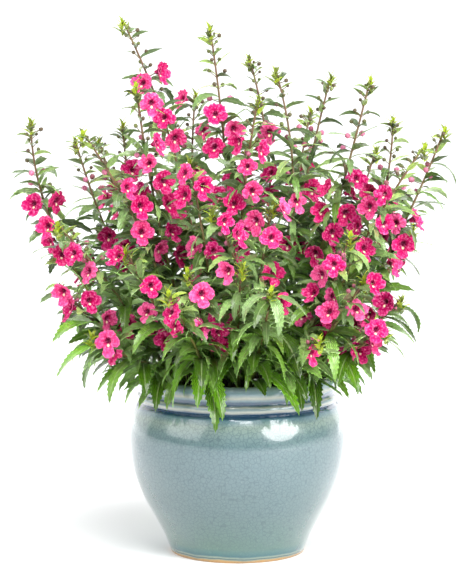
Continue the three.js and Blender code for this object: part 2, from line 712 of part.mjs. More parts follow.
stems.forEach((stem, k) => {
  stem.pieces = placeLipLeaves(stem, LIP_LEAVES[shootNames[k]] ?? []).map(leafSolid);
});
rimStems.forEach((stem) => {
  stem.pieces.push(...placeRimLeaves(stem).map(leafSolid));
});
tallStems.forEach((stem) => {
  const spots = Array.isArray(stem.blooms) ? stem.blooms : spiralSpots(stem, stem.blooms);
  stem.pieces.push(...placeBlooms(stem, spots).map(bloomSolid));
});
for (const [placePieces, pieceSolid] of [
  [placeLargeLeaves, leafSolid],
  [placeTipLeaf, leafSolid],
  [placeBud, budSolid],
]) {
  tallStems.forEach((stem) => {
    stem.pieces.push(...placePieces(stem).map(pieceSolid));
  });
}

// Finishes and the finished group

const glaze = new THREE.MeshStandardMaterial({ color: 0x86a3a6, roughness: 0.15, metalness: 0 });
const earth = new THREE.MeshStandardMaterial({ color: 0x33261c, roughness: 0.95, metalness: 0 });
const foliage = new THREE.MeshStandardMaterial({ color: 0x5c8440, roughness: 0.55, metalness: 0 });

const soil = wasm.Manifold.difference([revolve(soilOutline()), ...stems.map(holeSolid)]);

const group = new THREE.Group();
group.add(toMesh('pot', revolve(potOutline()), glaze));
group.add(toMesh('soil', soil, earth));

stems.forEach((stem, k) => {
  const solid = wasm.Manifold.union([stemSolid(stem), ...stem.pieces]);
  group.add(toMesh(shootNames[k], solid, foliage, stem.curve[0]));
});

export default group;
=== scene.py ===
# %% [markdown]
# # A potted angelonia
#
# This file dresses a imported CAD model of a potted angelonia: a glazed pot of soil and 51 leafy stems. The
# CAD model gives the true sizes, and every piece made here sits where its CAD solid sits. The first cell
# loads that model and moves each part's place into its mesh.

# %% Load the imported model
import math
import bmesh
import bpy
import numpy as np
from mathutils import Matrix, Vector


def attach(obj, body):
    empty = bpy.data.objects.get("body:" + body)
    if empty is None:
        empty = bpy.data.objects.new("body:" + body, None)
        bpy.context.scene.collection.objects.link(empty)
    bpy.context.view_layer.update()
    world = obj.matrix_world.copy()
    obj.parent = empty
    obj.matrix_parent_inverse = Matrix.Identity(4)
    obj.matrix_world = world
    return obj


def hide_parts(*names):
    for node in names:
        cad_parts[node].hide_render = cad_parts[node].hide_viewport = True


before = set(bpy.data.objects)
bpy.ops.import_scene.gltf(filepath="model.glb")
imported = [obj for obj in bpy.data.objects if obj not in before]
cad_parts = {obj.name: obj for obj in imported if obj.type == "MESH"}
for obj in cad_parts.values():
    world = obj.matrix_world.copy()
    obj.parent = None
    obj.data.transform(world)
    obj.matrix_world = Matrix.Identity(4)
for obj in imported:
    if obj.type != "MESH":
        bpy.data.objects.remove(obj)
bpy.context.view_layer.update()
MM = 0.001
DEG = math.pi / 180
print("CAD nodes:", len(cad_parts))

# %% [markdown]
# ## Camera
#
# The picture is taken with a long lens from a little above the flowers, so the mouth of the pot is a flat
# ellipse and the stems stand without much perspective. A long lens far away gives that view. The lens comes
# from the picture's height of 583 pixels and a focal length of 2800 pixels, on a sensor 36 mm high.

# %% Camera
SENSOR, PICTURE_HEIGHT, FOCAL_PIXELS, DOWNWARD_TILT = 36, 583, 2800, 7.26
camera_data = bpy.data.cameras.new("camera")
camera_data.sensor_fit = "VERTICAL"
camera_data.sensor_height = SENSOR
camera_data.lens = FOCAL_PIXELS * SENSOR / PICTURE_HEIGHT
camera_data.clip_end = 200
camera = bpy.data.objects.new("camera", camera_data)
camera.location = (-0.0079, -2.884, 0.640)
camera.rotation_euler = ((90 - DOWNWARD_TILT) * DEG, 0, 0)
bpy.context.scene.collection.objects.link(camera)
bpy.context.scene.camera = camera
print("lens:", round(camera_data.lens, 1), "mm")

# %% [markdown]
# ## Colours
#
# The colours of petals, leaves and glaze are easiest to write as the 0 to 255 values that a screen shows.
# Blender works in linear light, so one small function turns them. A shade of grey is used wherever a ramp
# only fades something in or out.

# %% Colours
def screen(red, green, blue):
    def linear(value):
        value /= 255
        return value / 12.92 if value <= 0.04045 else ((value + 0.055) / 1.055) ** 2.4
    return (linear(red), linear(green), linear(blue), 1)


def grey(value):
    return (value, value, value, 1)


print("half grey in linear light:", round(screen(128, 128, 128)[0], 3))

# %% [markdown]
# ## Nodes
#
# A finish is a Principled shader with a few nodes in front of it. Wiring them by hand would drown each
# cell, so short helpers do it: one starts a material, one adds a node, and one feeds sockets, with a link
# where it is given another node's output and with a plain value on the socket itself where it is given a
# number or a colour.

# %% Start a material and feed its sockets
def start_material(name):
    material = bpy.data.materials.new(name)
    material.use_nodes = True
    return material, material.node_tree, material.node_tree.nodes["Principled BSDF"]


def feed(tree, node, inputs):
    for socket, source in inputs.items():
        if hasattr(source, "links"):
            tree.links.new(source, node.inputs[socket])
        else:
            node.inputs[socket].default_value = source


def add(tree, kind, inputs=None, **settings):
    made = tree.nodes.new(kind)
    for key, value in settings.items():
        setattr(made, key, value)
    feed(tree, made, inputs or {})
    return made


print("materials before the first finish:", len(bpy.data.materials))

# %% [markdown]
# ### Ramps, mixes and sums
#
# Most finishes come from three things: a value that runs over the piece, a ramp that turns it into a colour
# or a share, and a mix that lays one colour over another. Each gets one short function, so a line of a
# finish reads like a sentence.

# %% Ramps, mixes and sums
def ramp(tree, factor, stops):
    made = add(tree, "ShaderNodeValToRGB", {"Fac": factor})
    elements = made.color_ramp.elements
    while len(elements) < len(stops):
        elements.new(0.5)
    for element, (place, colour) in zip(elements, stops):
        element.position = place
        element.color = colour
    return made.outputs["Color"]


def fade(tree, factor, *stops):
    return ramp(tree, factor, [(place, grey(value)) for place, value in stops])


def blend(tree, share, first, second, mode="MIX"):
    inputs = {0: share, 6: first, 7: second}
    return add(tree, "ShaderNodeMix", inputs, data_type="RGBA", blend_type=mode).outputs[2]


def number(tree, operation, first, second=0.0, third=0.0, clamp=False):
    inputs = {0: first, 1: second, 2: third}
    return add(tree, "ShaderNodeMath", inputs, operation=operation, use_clamp=clamp).outputs[0]


print("helpers:", [helper.__name__ for helper in (ramp, fade, blend, number)])

# %% [markdown]
# ### Places, patterns and relief
#
# A pattern needs to know where it is. On the pot, the soil and the stems it reads the place on the object,
# and on a leaf or a petal it reads the UV map or a value that is stored on the mesh, so it follows the
# surface.

# %% Places, patterns and relief
def object_place(tree):
    return add(tree, "ShaderNodeTexCoord").outputs["Object"]


def surface_map(tree, name):
    return add(tree, "ShaderNodeUVMap", uv_map=name).outputs["UV"]


def stored(tree, name):
    return add(tree, "ShaderNodeAttribute", attribute_name=name).outputs["Fac"]


def one_axis(tree, vector, axis):
    return add(tree, "ShaderNodeSeparateXYZ", {"Vector": vector}).outputs[axis]


def noise(tree, place, scale, detail=3.0, roughness=0.5, output="Fac"):
    inputs = {"Vector": place, "Scale": scale, "Detail": detail, "Roughness": roughness}
    return add(tree, "ShaderNodeTexNoise", inputs).outputs[output]


def bump(tree, height, strength, distance):
    inputs = {"Height": height, "Strength": strength, "Distance": distance}
    return add(tree, "ShaderNodeBump", inputs).outputs[0]


print("helpers:", [helper.__name__ for helper in (object_place, surface_map, stored, noise, bump)])

# %% [markdown]
# ## Floor
#
# The plant is photographed on white. A plain pale plane that runs far back does that in every view, and it
# is matte, so that it takes a soft shadow and mirrors nothing.

# %% Floor
FLOOR_HALF_SIDE = 60
floor_material, tree, shader = start_material("floor")
feed(tree, shader, {"Base Color": grey(0.96), "Roughness": 0.8, "Specular IOR Level": 0.1})
bm = bmesh.new()
bmesh.ops.create_grid(bm, x_segments=4, y_segments=4, size=FLOOR_HALF_SIDE)
floor_mesh = bpy.data.meshes.new("floor")
bm.to_mesh(floor_mesh)
bm.free()
floor_mesh.materials.append(floor_material)
floor = bpy.data.objects.new("floor", floor_mesh)
bpy.context.scene.collection.objects.link(floor)
print("floor side:", 2 * FLOOR_HALF_SIDE, "m")

# %% [markdown]
# ## Sky
#
# The glaze mirrors the studio round it: a dimmer room in front, which shows as a darker band over the
# belly, and white behind. The sky could be a picture, but a smooth ramp by height, made bright behind the
# plant, is enough and stays soft.

# %% Sky
world = bpy.data.worlds.new("studio")
world.use_nodes = True
tree = world.node_tree
toward = add(tree, "ShaderNodeTexCoord").outputs["Generated"]
room_light = fade(tree, one_axis(tree, toward, "Z"), (0.0, 0.05), (0.1, 0.12), (0.2, 0.5), (1.0, 0.75))
behind = fade(tree, one_axis(tree, toward, "Y"), (0.28, 0), (0.38, 1))
sky = blend(tree, behind, room_light, grey(1))
sky = blend(tree, 1.0, sky, (0.97, 0.985, 1, 1), "MULTIPLY")
feed(tree, tree.nodes["Background"], {"Color": sky})
bpy.context.scene.world = world
bpy.context.scene.view_settings.view_transform = "Standard"
print("sky:", world.name)

# %% [markdown]
# ## Lamps
#
# One wide soft sun lights all of the plant. Two soft boxes stand in front: an oval one on the right, which
# is the bright highlight on the belly, and a weaker one on the left. Two pale panels behind, one at each
# side, show as light streaks along the pot's edges and catch the rims of the leaves.

# %% Lamps
def add_light(name, kind, place, target, energy, **settings):
    data = bpy.data.lights.new(name, kind)
    data.energy = energy
    for key, value in settings.items():
        setattr(data, key, value)
    light = bpy.data.objects.new(name, data)
    light.location = place
    direction = Vector(target) - Vector(place)
    light.rotation_euler = direction.to_track_quat("-Z", "Y").to_euler()
    bpy.context.scene.collection.objects.link(light)


PLANT_MIDDLE = (0, 0, 0.28)
add_light("wide_sun", "SUN", (0.3, -1.3, 2.4), (0, 0, 0), 2.8, angle=40 * DEG)
BOXES = [
    ("right_box", (1.2, -1.1, 0.82), 28, "ELLIPSE", 1.3, 1.05),
    ("left_box", (-1.5, -0.9, 0.9), 10, "RECTANGLE", 1.4, 1.1),
    ("left_wall", (-1.22, 1.03, 0.6), 4.2, "RECTANGLE", 1.4, 1.4),
    ("right_wall", (0.95, 1.28, 0.6), 4.8, "RECTANGLE", 0.9, 1.4),
]
for name, place, power, shape, width, height in BOXES:
    add_light(name, "AREA", place, PLANT_MIDDLE, power, shape=shape, size=width, size_y=height)

# %% [markdown]
# ## Glaze
#
# The pot wears a grey-teal crackle glaze. It pools dark blue in the grooves, breaks to a warm beige on the
# raised bands, and gathers in two dark lines just above the foot, where the bare clay shows tan. Towards the
# shoulder, just under the bands, the glaze is painted lighter and greener: a painted reflection of the bright
# room above on the upward-facing shoulder, laid over the glaze's own teal. The bands could be painted rings.
# A colour ramp over the height does the same on one material, and soft noise moves its edges a little up and
# down and gives the cloudy depth.

# %% Glaze bands
GLAZE_HEIGHT = 0.19
TAN, TEAL, DEEP = screen(190, 146, 84), screen(85, 109, 110), screen(0, 52, 84)
BEIGE, BELLY, LOW = screen(166, 168, 152), screen(92, 114, 118), screen(84, 115, 104)
# The stops from 0.64 to 0.78 lighten the glaze up to the shoulder: a painted reflection of the bright room
# above, over the glaze's own teal.
BANDS = [
    (0.0, TAN), (0.013, TAN), (0.018, screen(120, 150, 136)), (0.023, screen(20, 52, 72)),
    (0.029, screen(150, 166, 146)), (0.038, screen(48, 96, 104)), (0.056, screen(66, 110, 108)),
    (0.08, LOW), (0.3, TEAL), (0.48, BELLY), (0.64, screen(92, 116, 120)), (0.72, screen(108, 131, 130)),
    (0.78, screen(134, 154, 142)), (0.814, screen(96, 128, 138)), (0.824, DEEP), (0.845, DEEP),
    (0.858, BEIGE), (0.872, screen(112, 138, 144)), (0.882, BEIGE), (0.888, screen(60, 88, 106)),
    (0.895, DEEP), (0.907, DEEP), (0.916, screen(96, 124, 134)), (0.93, BEIGE),
    (0.95, screen(108, 136, 144)), (0.985, screen(128, 148, 148)), (1.0, screen(176, 176, 160)),
]
glaze, tree, shader = start_material("crackle_glaze")
place = object_place(tree)
edge = number(tree, "MULTIPLY_ADD", noise(tree, place, 30), 0.004, -0.002)
level = number(tree, "DIVIDE", number(tree, "ADD", one_axis(tree, place, "Z"), edge), GLAZE_HEIGHT)
clouds = fade(tree, noise(tree, place, 14, 5, 0.6), (0.35, 0), (0.7, 0.35))
colour = blend(tree, clouds, ramp(tree, level, BANDS), screen(84, 108, 116))
flecks = fade(tree, noise(tree, place, 420, 2), (0.6, 0), (0.75, 0.15))
colour = blend(tree, flecks, colour, screen(140, 156, 154))
print("glaze bands:", len(BANDS))

# %% [markdown]
# ### Crackle
#
# As the glaze cools it shrinks more than the clay and splits into a net of hair-fine cracks, large cells
# with smaller ones inside. Carving them would cost a great many faces for lines that are thinner than a
# hair, so they are the thin edges of two cell patterns. The cells are 3-D, so the cracks wrap round the pot
# without a seam.

# %% Glaze cracks
LARGE_CELLS, SMALL_CELLS, BEND = 235, 470, 0.006
wobble = {0: noise(tree, place, 60, output="Color"), "Scale": BEND}
nudge = add(tree, "ShaderNodeVectorMath", wobble, operation="SCALE").outputs[0]
bent = add(tree, "ShaderNodeVectorMath", {0: place, 1: nudge}, operation="ADD").outputs[0]


def cell_edges(scale):
    inputs = {"Vector": bent, "Scale": scale}
    return add(tree, "ShaderNodeTexVoronoi", inputs, feature="DISTANCE_TO_EDGE").outputs["Distance"]


cracks = fade(tree, cell_edges(LARGE_CELLS), (0.0, 1), (0.04, 0.8), (0.08, 0))
fine_cracks = fade(tree, cell_edges(SMALL_CELLS), (0.0, 0.4), (0.08, 0))
shown = fade(tree, level, (0.05, 0.3), (0.2, 1), (0.78, 1), (0.84, 0.2))
crack = number(tree, "MULTIPLY", number(tree, "MAXIMUM", cracks, fine_cracks), shown)
colour = blend(tree, number(tree, "MULTIPLY", crack, 0.42), colour, screen(36, 62, 72))
print("cells to a metre:", LARGE_CELLS, SMALL_CELLS)

# %% [markdown]
# ### Glaze surface
#
# Glaze is glass, so it gets a clear coat over a smooth base. The clay at the foot stays rough. Two soft
# noises make the surface uneven: a broad one bends the mirrored studio a little, as on a thrown pot, and a
# small one gives it the skin of a glaze that has run.

# %% Glaze surface
roughness = fade(tree, level, (0.012, 0.75), (0.022, 0.07))
relief = number(tree, "MULTIPLY_ADD", crack, -0.2, noise(tree, place, 55, 2))
relief = number(tree, "MULTIPLY_ADD", noise(tree, place, 8, 2), 44, relief)
feed(tree, shader, {
    "Base Color": colour, "Roughness": roughness, "Normal": bump(tree, relief, 0.12, 0.002),
    "Coat Weight": 1.0, "Coat Roughness": 0.04,
})
print("glaze nodes:", len(tree.nodes))

# %% [markdown]
# ## Pot
#
# A thrown pot is a turned shape, so it is made by spinning one outline about the upright axis. The outline
# repeats the named sizes of the CAD pot, with more points along the belly and small rounds at the lip and
# the bands. The CAD pot has 24 flat sides. Spinning 120 steps keeps its form and takes the flats away.

# %% Pot outline
POT_HEIGHT, FOOT_RADIUS, FOOT_RING_WIDTH, FOOT_RECESS = 188, 70, 11, 3
WALL, FLOOR, DRAIN_RADIUS = 8.5, 12, 7
BODY_OUTLINE = [[70.5, 2.5], [76, 17], [86, 36], [99, 60], [110, 89], [114, 120], [111.3, 142], [105.5, 156]]
GROOVE_RADIUS, BAND_RADIUS, LIP_RADIUS, MOUTH_RADIUS = 102.5, 105, 104.5, 95
BAND_BASE, BAND_TOP, LIP_BASE, SOIL_LEVEL = 161, 167.5, 172.5, 178
POT_STEPS, INNER_FLOOR = 120, 14


def smooth_line(points, steps):
    ends = [points[0], *points, points[-1]]
    line = []
    for k in range(len(points) - 1):
        a, b, c, d = (np.array(p, float) for p in ends[k:k + 4])
        for step in range(steps):
            t = step / steps
            line.append(0.5 * (2 * b + (c - a) * t + (2 * a - 5 * b + 4 * c - d) * t * t
                               + (3 * b - a - 3 * c + d) * t ** 3))
    return [tuple(p) for p in line] + [tuple(points[-1])]


belly = smooth_line(BODY_OUTLINE, 5)
inner_belly = [(r - WALL, z) for r, z in belly if z > INNER_FLOOR][::-1]
pot_outline = [
    (DRAIN_RADIUS, FOOT_RECESS), (FOOT_RADIUS - FOOT_RING_WIDTH - 1, FOOT_RECESS),
    (FOOT_RADIUS - FOOT_RING_WIDTH, 0.4), (FOOT_RADIUS - FOOT_RING_WIDTH + 0.6, 0), (FOOT_RADIUS - 1.2, 0),
    (FOOT_RADIUS - 0.3, 0.5), *belly,
    (103.4, 157.6), (GROOVE_RADIUS, 158.5), (103.2, 159.8), (104.6, BAND_BASE), (BAND_RADIUS + 0.2, 164.2),
    (104.6, BAND_TOP), (103.2, 168.6), (GROOVE_RADIUS, 170), (103, 171.4), (LIP_RADIUS - 0.3, LIP_BASE + 0.6),
    (LIP_RADIUS, 176), (LIP_RADIUS + 0.1, 181), (LIP_RADIUS - 0.2, 184), (103.2, 186.4), (101, 187.7),
    (99, POT_HEIGHT), (97.2, 187.4), (95.8, 186), (MOUTH_RADIUS, 183.5), (MOUTH_RADIUS, SOIL_LEVEL),
    *inner_belly, (FOOT_RADIUS - WALL, FLOOR), (DRAIN_RADIUS, FLOOR), (DRAIN_RADIUS, FOOT_RECESS),
]
print("pot outline points:", len(pot_outline))

# %% [markdown]
# ### Spinning and finishing
#
# Every piece is finished in the same way: its mesh becomes an object at the origin, rides on the one body,
# takes its slot, and stands for its CAD node. One function does that. Edges sharper than 50 degrees are
# marked, so the shading stays smooth on curves and crisp on rims. Another function spins an outline,
# because the soil is a turned shape too, and welds the points that meet on the axis.

# %% Spin an outline, finish a piece
SHARP_ANGLE = 50


def spin_outline(outline, steps):
    bm = bmesh.new()
    line = [bm.verts.new((r * MM, 0, z * MM)) for r, z in outline]
    edges = [bm.edges.new(pair) for pair in zip(line, line[1:])]
    turn = {"cent": (0, 0, 0), "axis": (0, 0, 1), "angle": 2 * math.pi}
    bmesh.ops.spin(bm, geom=line + edges, steps=steps, use_merge=True, **turn)
    bmesh.ops.remove_doubles(bm, verts=bm.verts, dist=0.01 * MM)
    return bm


def finish_piece(name, bm, materials, node_name):
    mesh = bpy.data.meshes.new(name)
    bm.to_mesh(mesh)
    bm.free()
    for material in materials:
        mesh.materials.append(material)
    mesh.shade_smooth()
    mesh.set_sharp_from_angle(angle=SHARP_ANGLE * DEG)
    piece = bpy.data.objects.new(name, mesh)
    bpy.context.scene.collection.objects.link(piece)
    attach(piece, "root")
    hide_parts(node_name)
    return piece


bm = spin_outline(pot_outline, POT_STEPS)
bmesh.ops.recalc_face_normals(bm, faces=bm.faces)
pot = finish_piece("glazed_pot", bm, [glaze], "pot")
print("pot faces:", len(pot.data.polygons))

# %% [markdown]
# ## Potting mix
#
# Potting mix is dark, crumbly and full of fibre. Under the leaves it is hardly lit, so a fine noise between
# a near black and a mid brown, with a strong bump, is all it needs.

# %% Soil material
earth, tree, shader = start_material("potting_mix")
grain = noise(tree, object_place(tree), 260, 6, 0.7)
browns = [(0.3, screen(22, 15, 10)), (0.55, screen(52, 38, 27)), (0.75, screen(96, 74, 54))]
feed(tree, shader, {
    "Base Color": ramp(tree, grain, browns), "Normal": bump(tree, grain, 0.7, 0.002),
    "Roughness": 0.95, "Specular IOR Level": 0.2,
})
print("soil browns:", len(browns))

# %% [markdown]
# ## Soil
#
# Most of the soil is under the leaves, so it only needs an uneven top and loose crumbs. The body is the CAD
# soil's outline, spun again, with its top rings pushed up and down by slow and quick waves. The crumbs are
# small twenty-sided balls, each squashed and turned its own way, because a flat top would look like a lid.

# %% Soil
FIT_GAP, SOIL_STEPS, CRUMB_REACH, CRUMB_COUNT = 0.3, 64, 92, 420
soil_line = [(0.0, FLOOR + FIT_GAP), (FOOT_RADIUS - WALL - FIT_GAP, FLOOR + FIT_GAP)]
soil_line += [(r - WALL - FIT_GAP, z) for r, z in belly if INNER_FLOOR < z < 156]
soil_line += [(MOUTH_RADIUS - FIT_GAP, SOIL_LEVEL)]
soil_line += [(r, SOIL_LEVEL) for r in range(90, 0, -6)] + [(0.0, SOIL_LEVEL)]
bm = spin_outline(soil_line, SOIL_STEPS)
for v in bm.verts:
    if v.co.z > (SOIL_LEVEL - 1) * MM and math.hypot(v.co.x, v.co.y) / MM < CRUMB_REACH:
        swell = math.sin(v.co.x * 190 + 1) * math.sin(v.co.y * 230)
        swell += 0.6 * math.sin(v.co.x * 520) * math.cos(v.co.y * 470)
        v.co.z += (1.2 * swell + 1.5) * MM
crumbs = np.random.default_rng(11)
for k in range(CRUMB_COUNT):
    reach, turn = CRUMB_REACH * math.sqrt(crumbs.random()), crumbs.random() * 2 * math.pi
    size = 0.8 + 2.0 * crumbs.random() ** 2
    spot = Vector((reach * math.cos(turn), reach * math.sin(turn), SOIL_LEVEL + 2.2)) * MM
    matrix = Matrix.Translation(spot) @ Matrix.Rotation(crumbs.random() * 6, 4, "X")
    matrix = matrix @ Matrix.Diagonal((1, 0.5 + 0.5 * crumbs.random(), 0.7, 1))
    bmesh.ops.create_icosphere(bm, subdivisions=1, radius=size * MM, matrix=matrix)
bmesh.ops.recalc_face_normals(bm, faces=bm.faces)
soil = finish_piece("soil_crumbs", bm, [earth], "soil")
print("soil faces:", len(soil.data.polygons))

# %% [markdown]
# ## Where everything grows
#
# The stems, leaves, blooms and buds have to stand where the CAD model has them. The model placed them by a
# rule with seeded draws: each stem starts at a free place in the soil and bends towards its tip, and each
# bloom or leaf takes the first place on its stem where it touches nothing. The same rule is worked again
# here, in plain double precision numbers, and gives the same plant. Its sizes are in millimetres.

# %% Sizes of the parts
STEM_RADIUS, STEM_TIP_RADIUS, STEM_DEPTH, COLLAR, TALL_STEM = 2.2, 1.3, 22, 7, 290
TALL_RINGS, SHORT_RINGS = [0.25, 0.5, 0.75, 0.95], [0.35, 0.7, 0.94]
FOOT_SHARE, RIM_FOOT_SHARE, FOOT_REACH, STEEPEST_SPREAD, BALL_STEP = 0.36, 0.7, 79, 1.1, 5
LOBES = [[36, 11, 0.5], [108, 12, 1.5], [180, 14, 3], [252, 12, 1.5], [324, 11, 0.5]]
THROAT_DEPTH, CALYX_DEPTH, PEDICEL, BLOOM_SPACING = 4.5, 7, 10, 11.5
SMALLEST_BLOOM, BLOOM_SIZE_RANGE, LEAF_FOLD, BUD_RADIUS, BUD_STALK, BUD_DEPTH = 0.88, 0.22, 0.2, 2.4, 11, 14
CLEARANCE, OWN_SHARE, GOLDEN_TURN, FRONT = 0.6, 0.9, 137.5 * DEG, -90 * DEG
TURNS = [0, 25, -25, 50, -50, 80, -80, 110, -110]
SHIFTS = [0, 0.02, -0.02, 0.04, -0.04]
print("widest bloom:", 2 * max(reach for turn, reach, forward in LOBES) * (SMALLEST_BLOOM + BLOOM_SIZE_RANGE))

# %% [markdown]
# ### Tall stems
#
# The tallest stems carry the spikes of the plant. Their tips make its outline, so each is listed one by
# one: the tip's place, the lean of the stem, then its blooms, each with its share of the way up and its
# bearing, and its largest leaves, each with a length and a rise as well.

# %% Tall stems
SPIRES = [
    [-214, 10, 449, 0, [
      [0.68, 0], [0.67, -165], [0.59, -120], [0.52, -180], [0.47, -120],
    ], [[0.72, -20, 30, 25], [0.8, 190, 26, 20]]],
    [-171, 60, 426, -0.28, [[0.58, -90], [0.53, -15], [0.45, -75]], [[0.55, -160, 34, 15]]],
    [-158, -40, 441, -0.7, [[0.77, -45], [0.69, -60], [0.6, -90], [0.53, -30]], []],
    [-122, 90, 441, -0.05, [[0.8, -60], [0.51, -60], [0.44, -30]], []],
    [-104, -30, 489, -0.12, [
      [0.92, 0], [0.79, 0], [0.73, -60], [0.66, -15], [0.63, -165], [0.59, -45], [0.5, -30], [0.42, -30],
    ], [[0.62, 200, 36, 25], [0.5, -60, 44, 5]]],
    [-120, 40, 552, -0.5, [[0.84, 0], [0.81, -120], [0.72, -90], [0.66, -90], [0.45, -165]], []],
    [-45, 130, 471, 0.1, [[0.96, -180], [0.85, -15], [0.71, -60], [0.51, -150]], []],
    [-29, 30, 545, -0.16, [
      [0.74, -120], [0.7, -30], [0.65, -150], [0.56, -45], [0.51, -120],
    ], [[0.665, 180, 38, 12], [0.58, -80, 38, -15]]],
    [12, 90, 512, -0.3, [[0.75, -75], [0.62, -90], [0.55, -90]], []],
    [21, -40, 476, 0.2, [
      [0.84, -165], [0.81, 0], [0.75, -90], [0.66, -45], [0.62, -135], [0.53, -60], [0.46, -90],
    ], [[0.7, -130, 34, 0]]],
    [39, 10, 502, -0.3, [[0.57, -75], [0.43, -105]], [[0.66, -80, 36, -15], [0.6, -20, 40, 10]]],
    [98, 60, 493, 0.26, [[0.61, -45], [0.42, -45]], [[0.68, -10, 36, 15], [0.55, -70, 40, -10]]],
    [136, -10, 494, 0.24, [
      [0.66, 0], [0.62, -180], [0.61, -60], [0.55, 0], [0.55, -180], [0.51, -75], [0.42, -135],
    ], [[0.76, 190, 30, 20], [0.6, -150, 38, 0]]],
    [164, 70, 448, 0, [[0.69, -180], [0.67, -45]], []],
    [190, -40, 427, 0.7, [
      [0.78, -120], [0.73, -180], [0.67, -30], [0.64, -180], [0.56, -60], [0.42, -150],
    ], [[0.6, -100, 38, -5]]],
    [214, 10, 441, 0.36, [
      [0.62, 0], [0.61, -105], [0.56, -180], [0.53, -45], [0.45, -15],
    ], [[0.75, -10, 34, -5], [0.62, -35, 40, 5], [0.5, -5, 46, 0], [0.86, 0, 38, 8]]],
]
print("tall stems:", len(SPIRES))

# %% [markdown]
# ### Stems in front
#
# Shorter stems fill the front of the plant down to the lip. Their blooms and leaves are what is seen most,
# so they are listed in the same way and not drawn.

# %% Stems in front
FRONT_SHOOTS = [
    [-182, -70, 350, -0.9, [[0.81, -165], [0.7, -165], [0.38, -150], [0.34, -45]], [[0.55, -170, 46, 10]]],
    [-178, -90, 290, -0.6, [
      [0.92, -105], [0.82, 0], [0.76, -165], [0.65, 0], [0.49, -60],
    ], [[0.42, -172, 70, 4], [0.75, -160, 46, -10]]],
    [-26, -110, 367, -0.6, [[0.93, -60], [0.85, -15], [0.36, -180]], [[0.7, -60, 44, -5]]],
    [-50, -150, 313, -0.3, [[0.79, -60], [0.64, 0], [0.48, -45], [0.37, -120]], []],
    [-68, -178, 295, -0.4, [[0.78, -135], [0.64, -165], [0.62, 0]], []],
    [4, -150, 318, 0.1, [[0.92, -180]], [[0.75, -120, 46, 5], [0.8, -30, 46, 5]]],
    [32, -178, 297, 0.1, [
      [0.84, 0],
    ], [
      [0.95, -165, 44, 10], [0.94, -15, 44, 5], [0.93, -65, 48, -5], [0.9, -115, 46, 0],
      [0.55, -150, 50, 0], [0.5, -30, 56, 5],
    ]],
    [35, -90, 373, 0.2, [
      [0.94, 0], [0.89, -180], [0.8, -90], [0.61, 0],
    ], [[0.88, -130, 36, 0], [0.84, -40, 38, 5]]],
    [112, -110, 344, 0.3, [
      [0.8, -120], [0.72, -180], [0.6, -180], [0.58, -45], [0.48, -75], [0.46, -180], [0.38, -15],
      [0.35, -180],
    ], [[0.9, -20, 36, 5]]],
    [125, -130, 304, 0.4, [[0.92, 0], [0.69, -15], [0.66, -165]], [[0.5, -80, 60, -10]]],
    [80, -150, 245, 0.5, [[0.69, -75]], [[0.7, -70, 52, -15]]],
    [165, -75, 275, 0.7, [
      [0.92, -150], [0.78, -165], [0.65, -180], [0.45, -15],
    ], [[0.9, 0, 44, 12], [0.8, -30, 46, -5], [0.72, 15, 50, 0]]],
    [-49, -60, 413, -0.2, [
      [0.93, -135], [0.87, -45], [0.84, -165], [0.61, -165], [0.59, -45], [0.5, -180],
    ], []],
    [-112, -120, 330, -0.5, [[0.92, -180], [0.74, -60], [0.55, -165], [0.34, -135]], []],
    [-147, -105, 243, -0.8, [[0.8, -105], [0.63, -150]], [[0.55, -155, 60, -8], [0.9, -170, 40, 5]]],
    [147, -115, 250, 0.8, [
      [0.91, -105], [0.72, -30], [0.58, -30], [0.46, 0],
    ], [[0.85, -15, 44, 0], [0.5, -60, 50, -10]]],
]
print("stems in front:", len(FRONT_SHOOTS))

# %% [markdown]
# ### Stems behind and round the rim
#
# The stems behind are hardly seen, so each only has a count of blooms, which then climb it in a spiral.
# Short leafy shoots stand round the rim. Large toothed leaves that hang over the lip in front are listed
# stem by stem.

# %% Stems behind and round the rim
BACK_SHOOTS = [
    [-150, 145, 420, -0.3, 4, []],
    [-70, 175, 440, -0.2, 5, []],
    [10, 180, 410, 0.1, 4, []],
    [80, 170, 450, 0.2, 5, []],
    [150, 140, 410, 0.3, 4, []],
    [-20, 190, 330, -0.1, 4, [[0.85, 90, 24, 15]]],
    [120, 175, 320, 0.4, 4, []],
    [-115, 175, 310, -0.4, 4, []],
    [187, 86, 332, 0.7, 4, []],
    [-190, 95, 330, -0.7, 4, []],
]
RIM_BEARINGS = [-108, -68, -42, -138, 178, 138, 98, 58, 18]
RIM_SHOOT_REACH, RIM_SHOOT_TOP = 97, 246
LIP_LEAVES = {
    "front_shoot_2": [[0.26, -138, 72, 8, 60], [0.61, -126, 80, 24, 60]],
    "front_shoot_5": [[0.19, -78, 72, -16, 75], [0.26, -60, 64, -24, 60], [0.3, -96, 64, -8, 60]],
    "front_shoot_6": [[0.26, -120, 64, 8, 75]],
    "front_shoot_7": [[0.23, -48, 80, 0, 60], [0.12, -78, 64, 16, 45]],
    "front_shoot_10": [[0.15, -84, 64, 0, 60]],
    "front_shoot_12": [[0.53, -66, 56, -8, 45]],
    "front_shoot_15": [[0.83, -150, 64, 0, 60], [0.29, -96, 64, -8, 45], [0.47, -84, 56, 0, 60]],
    "front_shoot_16": [[0.27, -84, 64, -8, 75], [0.53, -72, 64, 0, 60], [0.62, -108, 56, -8, 45]],
    "rim_shoot_2": [[0.92, -66, 80, 8, 75]],
}
print("stems:", len(SPIRES + FRONT_SHOOTS + BACK_SHOOTS + RIM_BEARINGS))

# %% [markdown]
# ## Room, kept as balls
#
# In a real plant no leaf grows through another. To keep it so here, every part is also a row of balls, and
# a new part may only settle where its balls clear all that are there. Testing the meshes themselves would
# be slow, and balls need only a distance. Near its own joint a part may touch its own stem.

# %% Balls and the pot
ROOM_SIZE, POT_GAP, SHOULDER_TOP, SHOULDER_SLOPE = 60000, 0.5, 155, 0.45


def point(x, y, z):
    return np.array([x, y, z], float)


def ball(centre, radius, owner, near=False):
    return (centre, radius, owner, near)


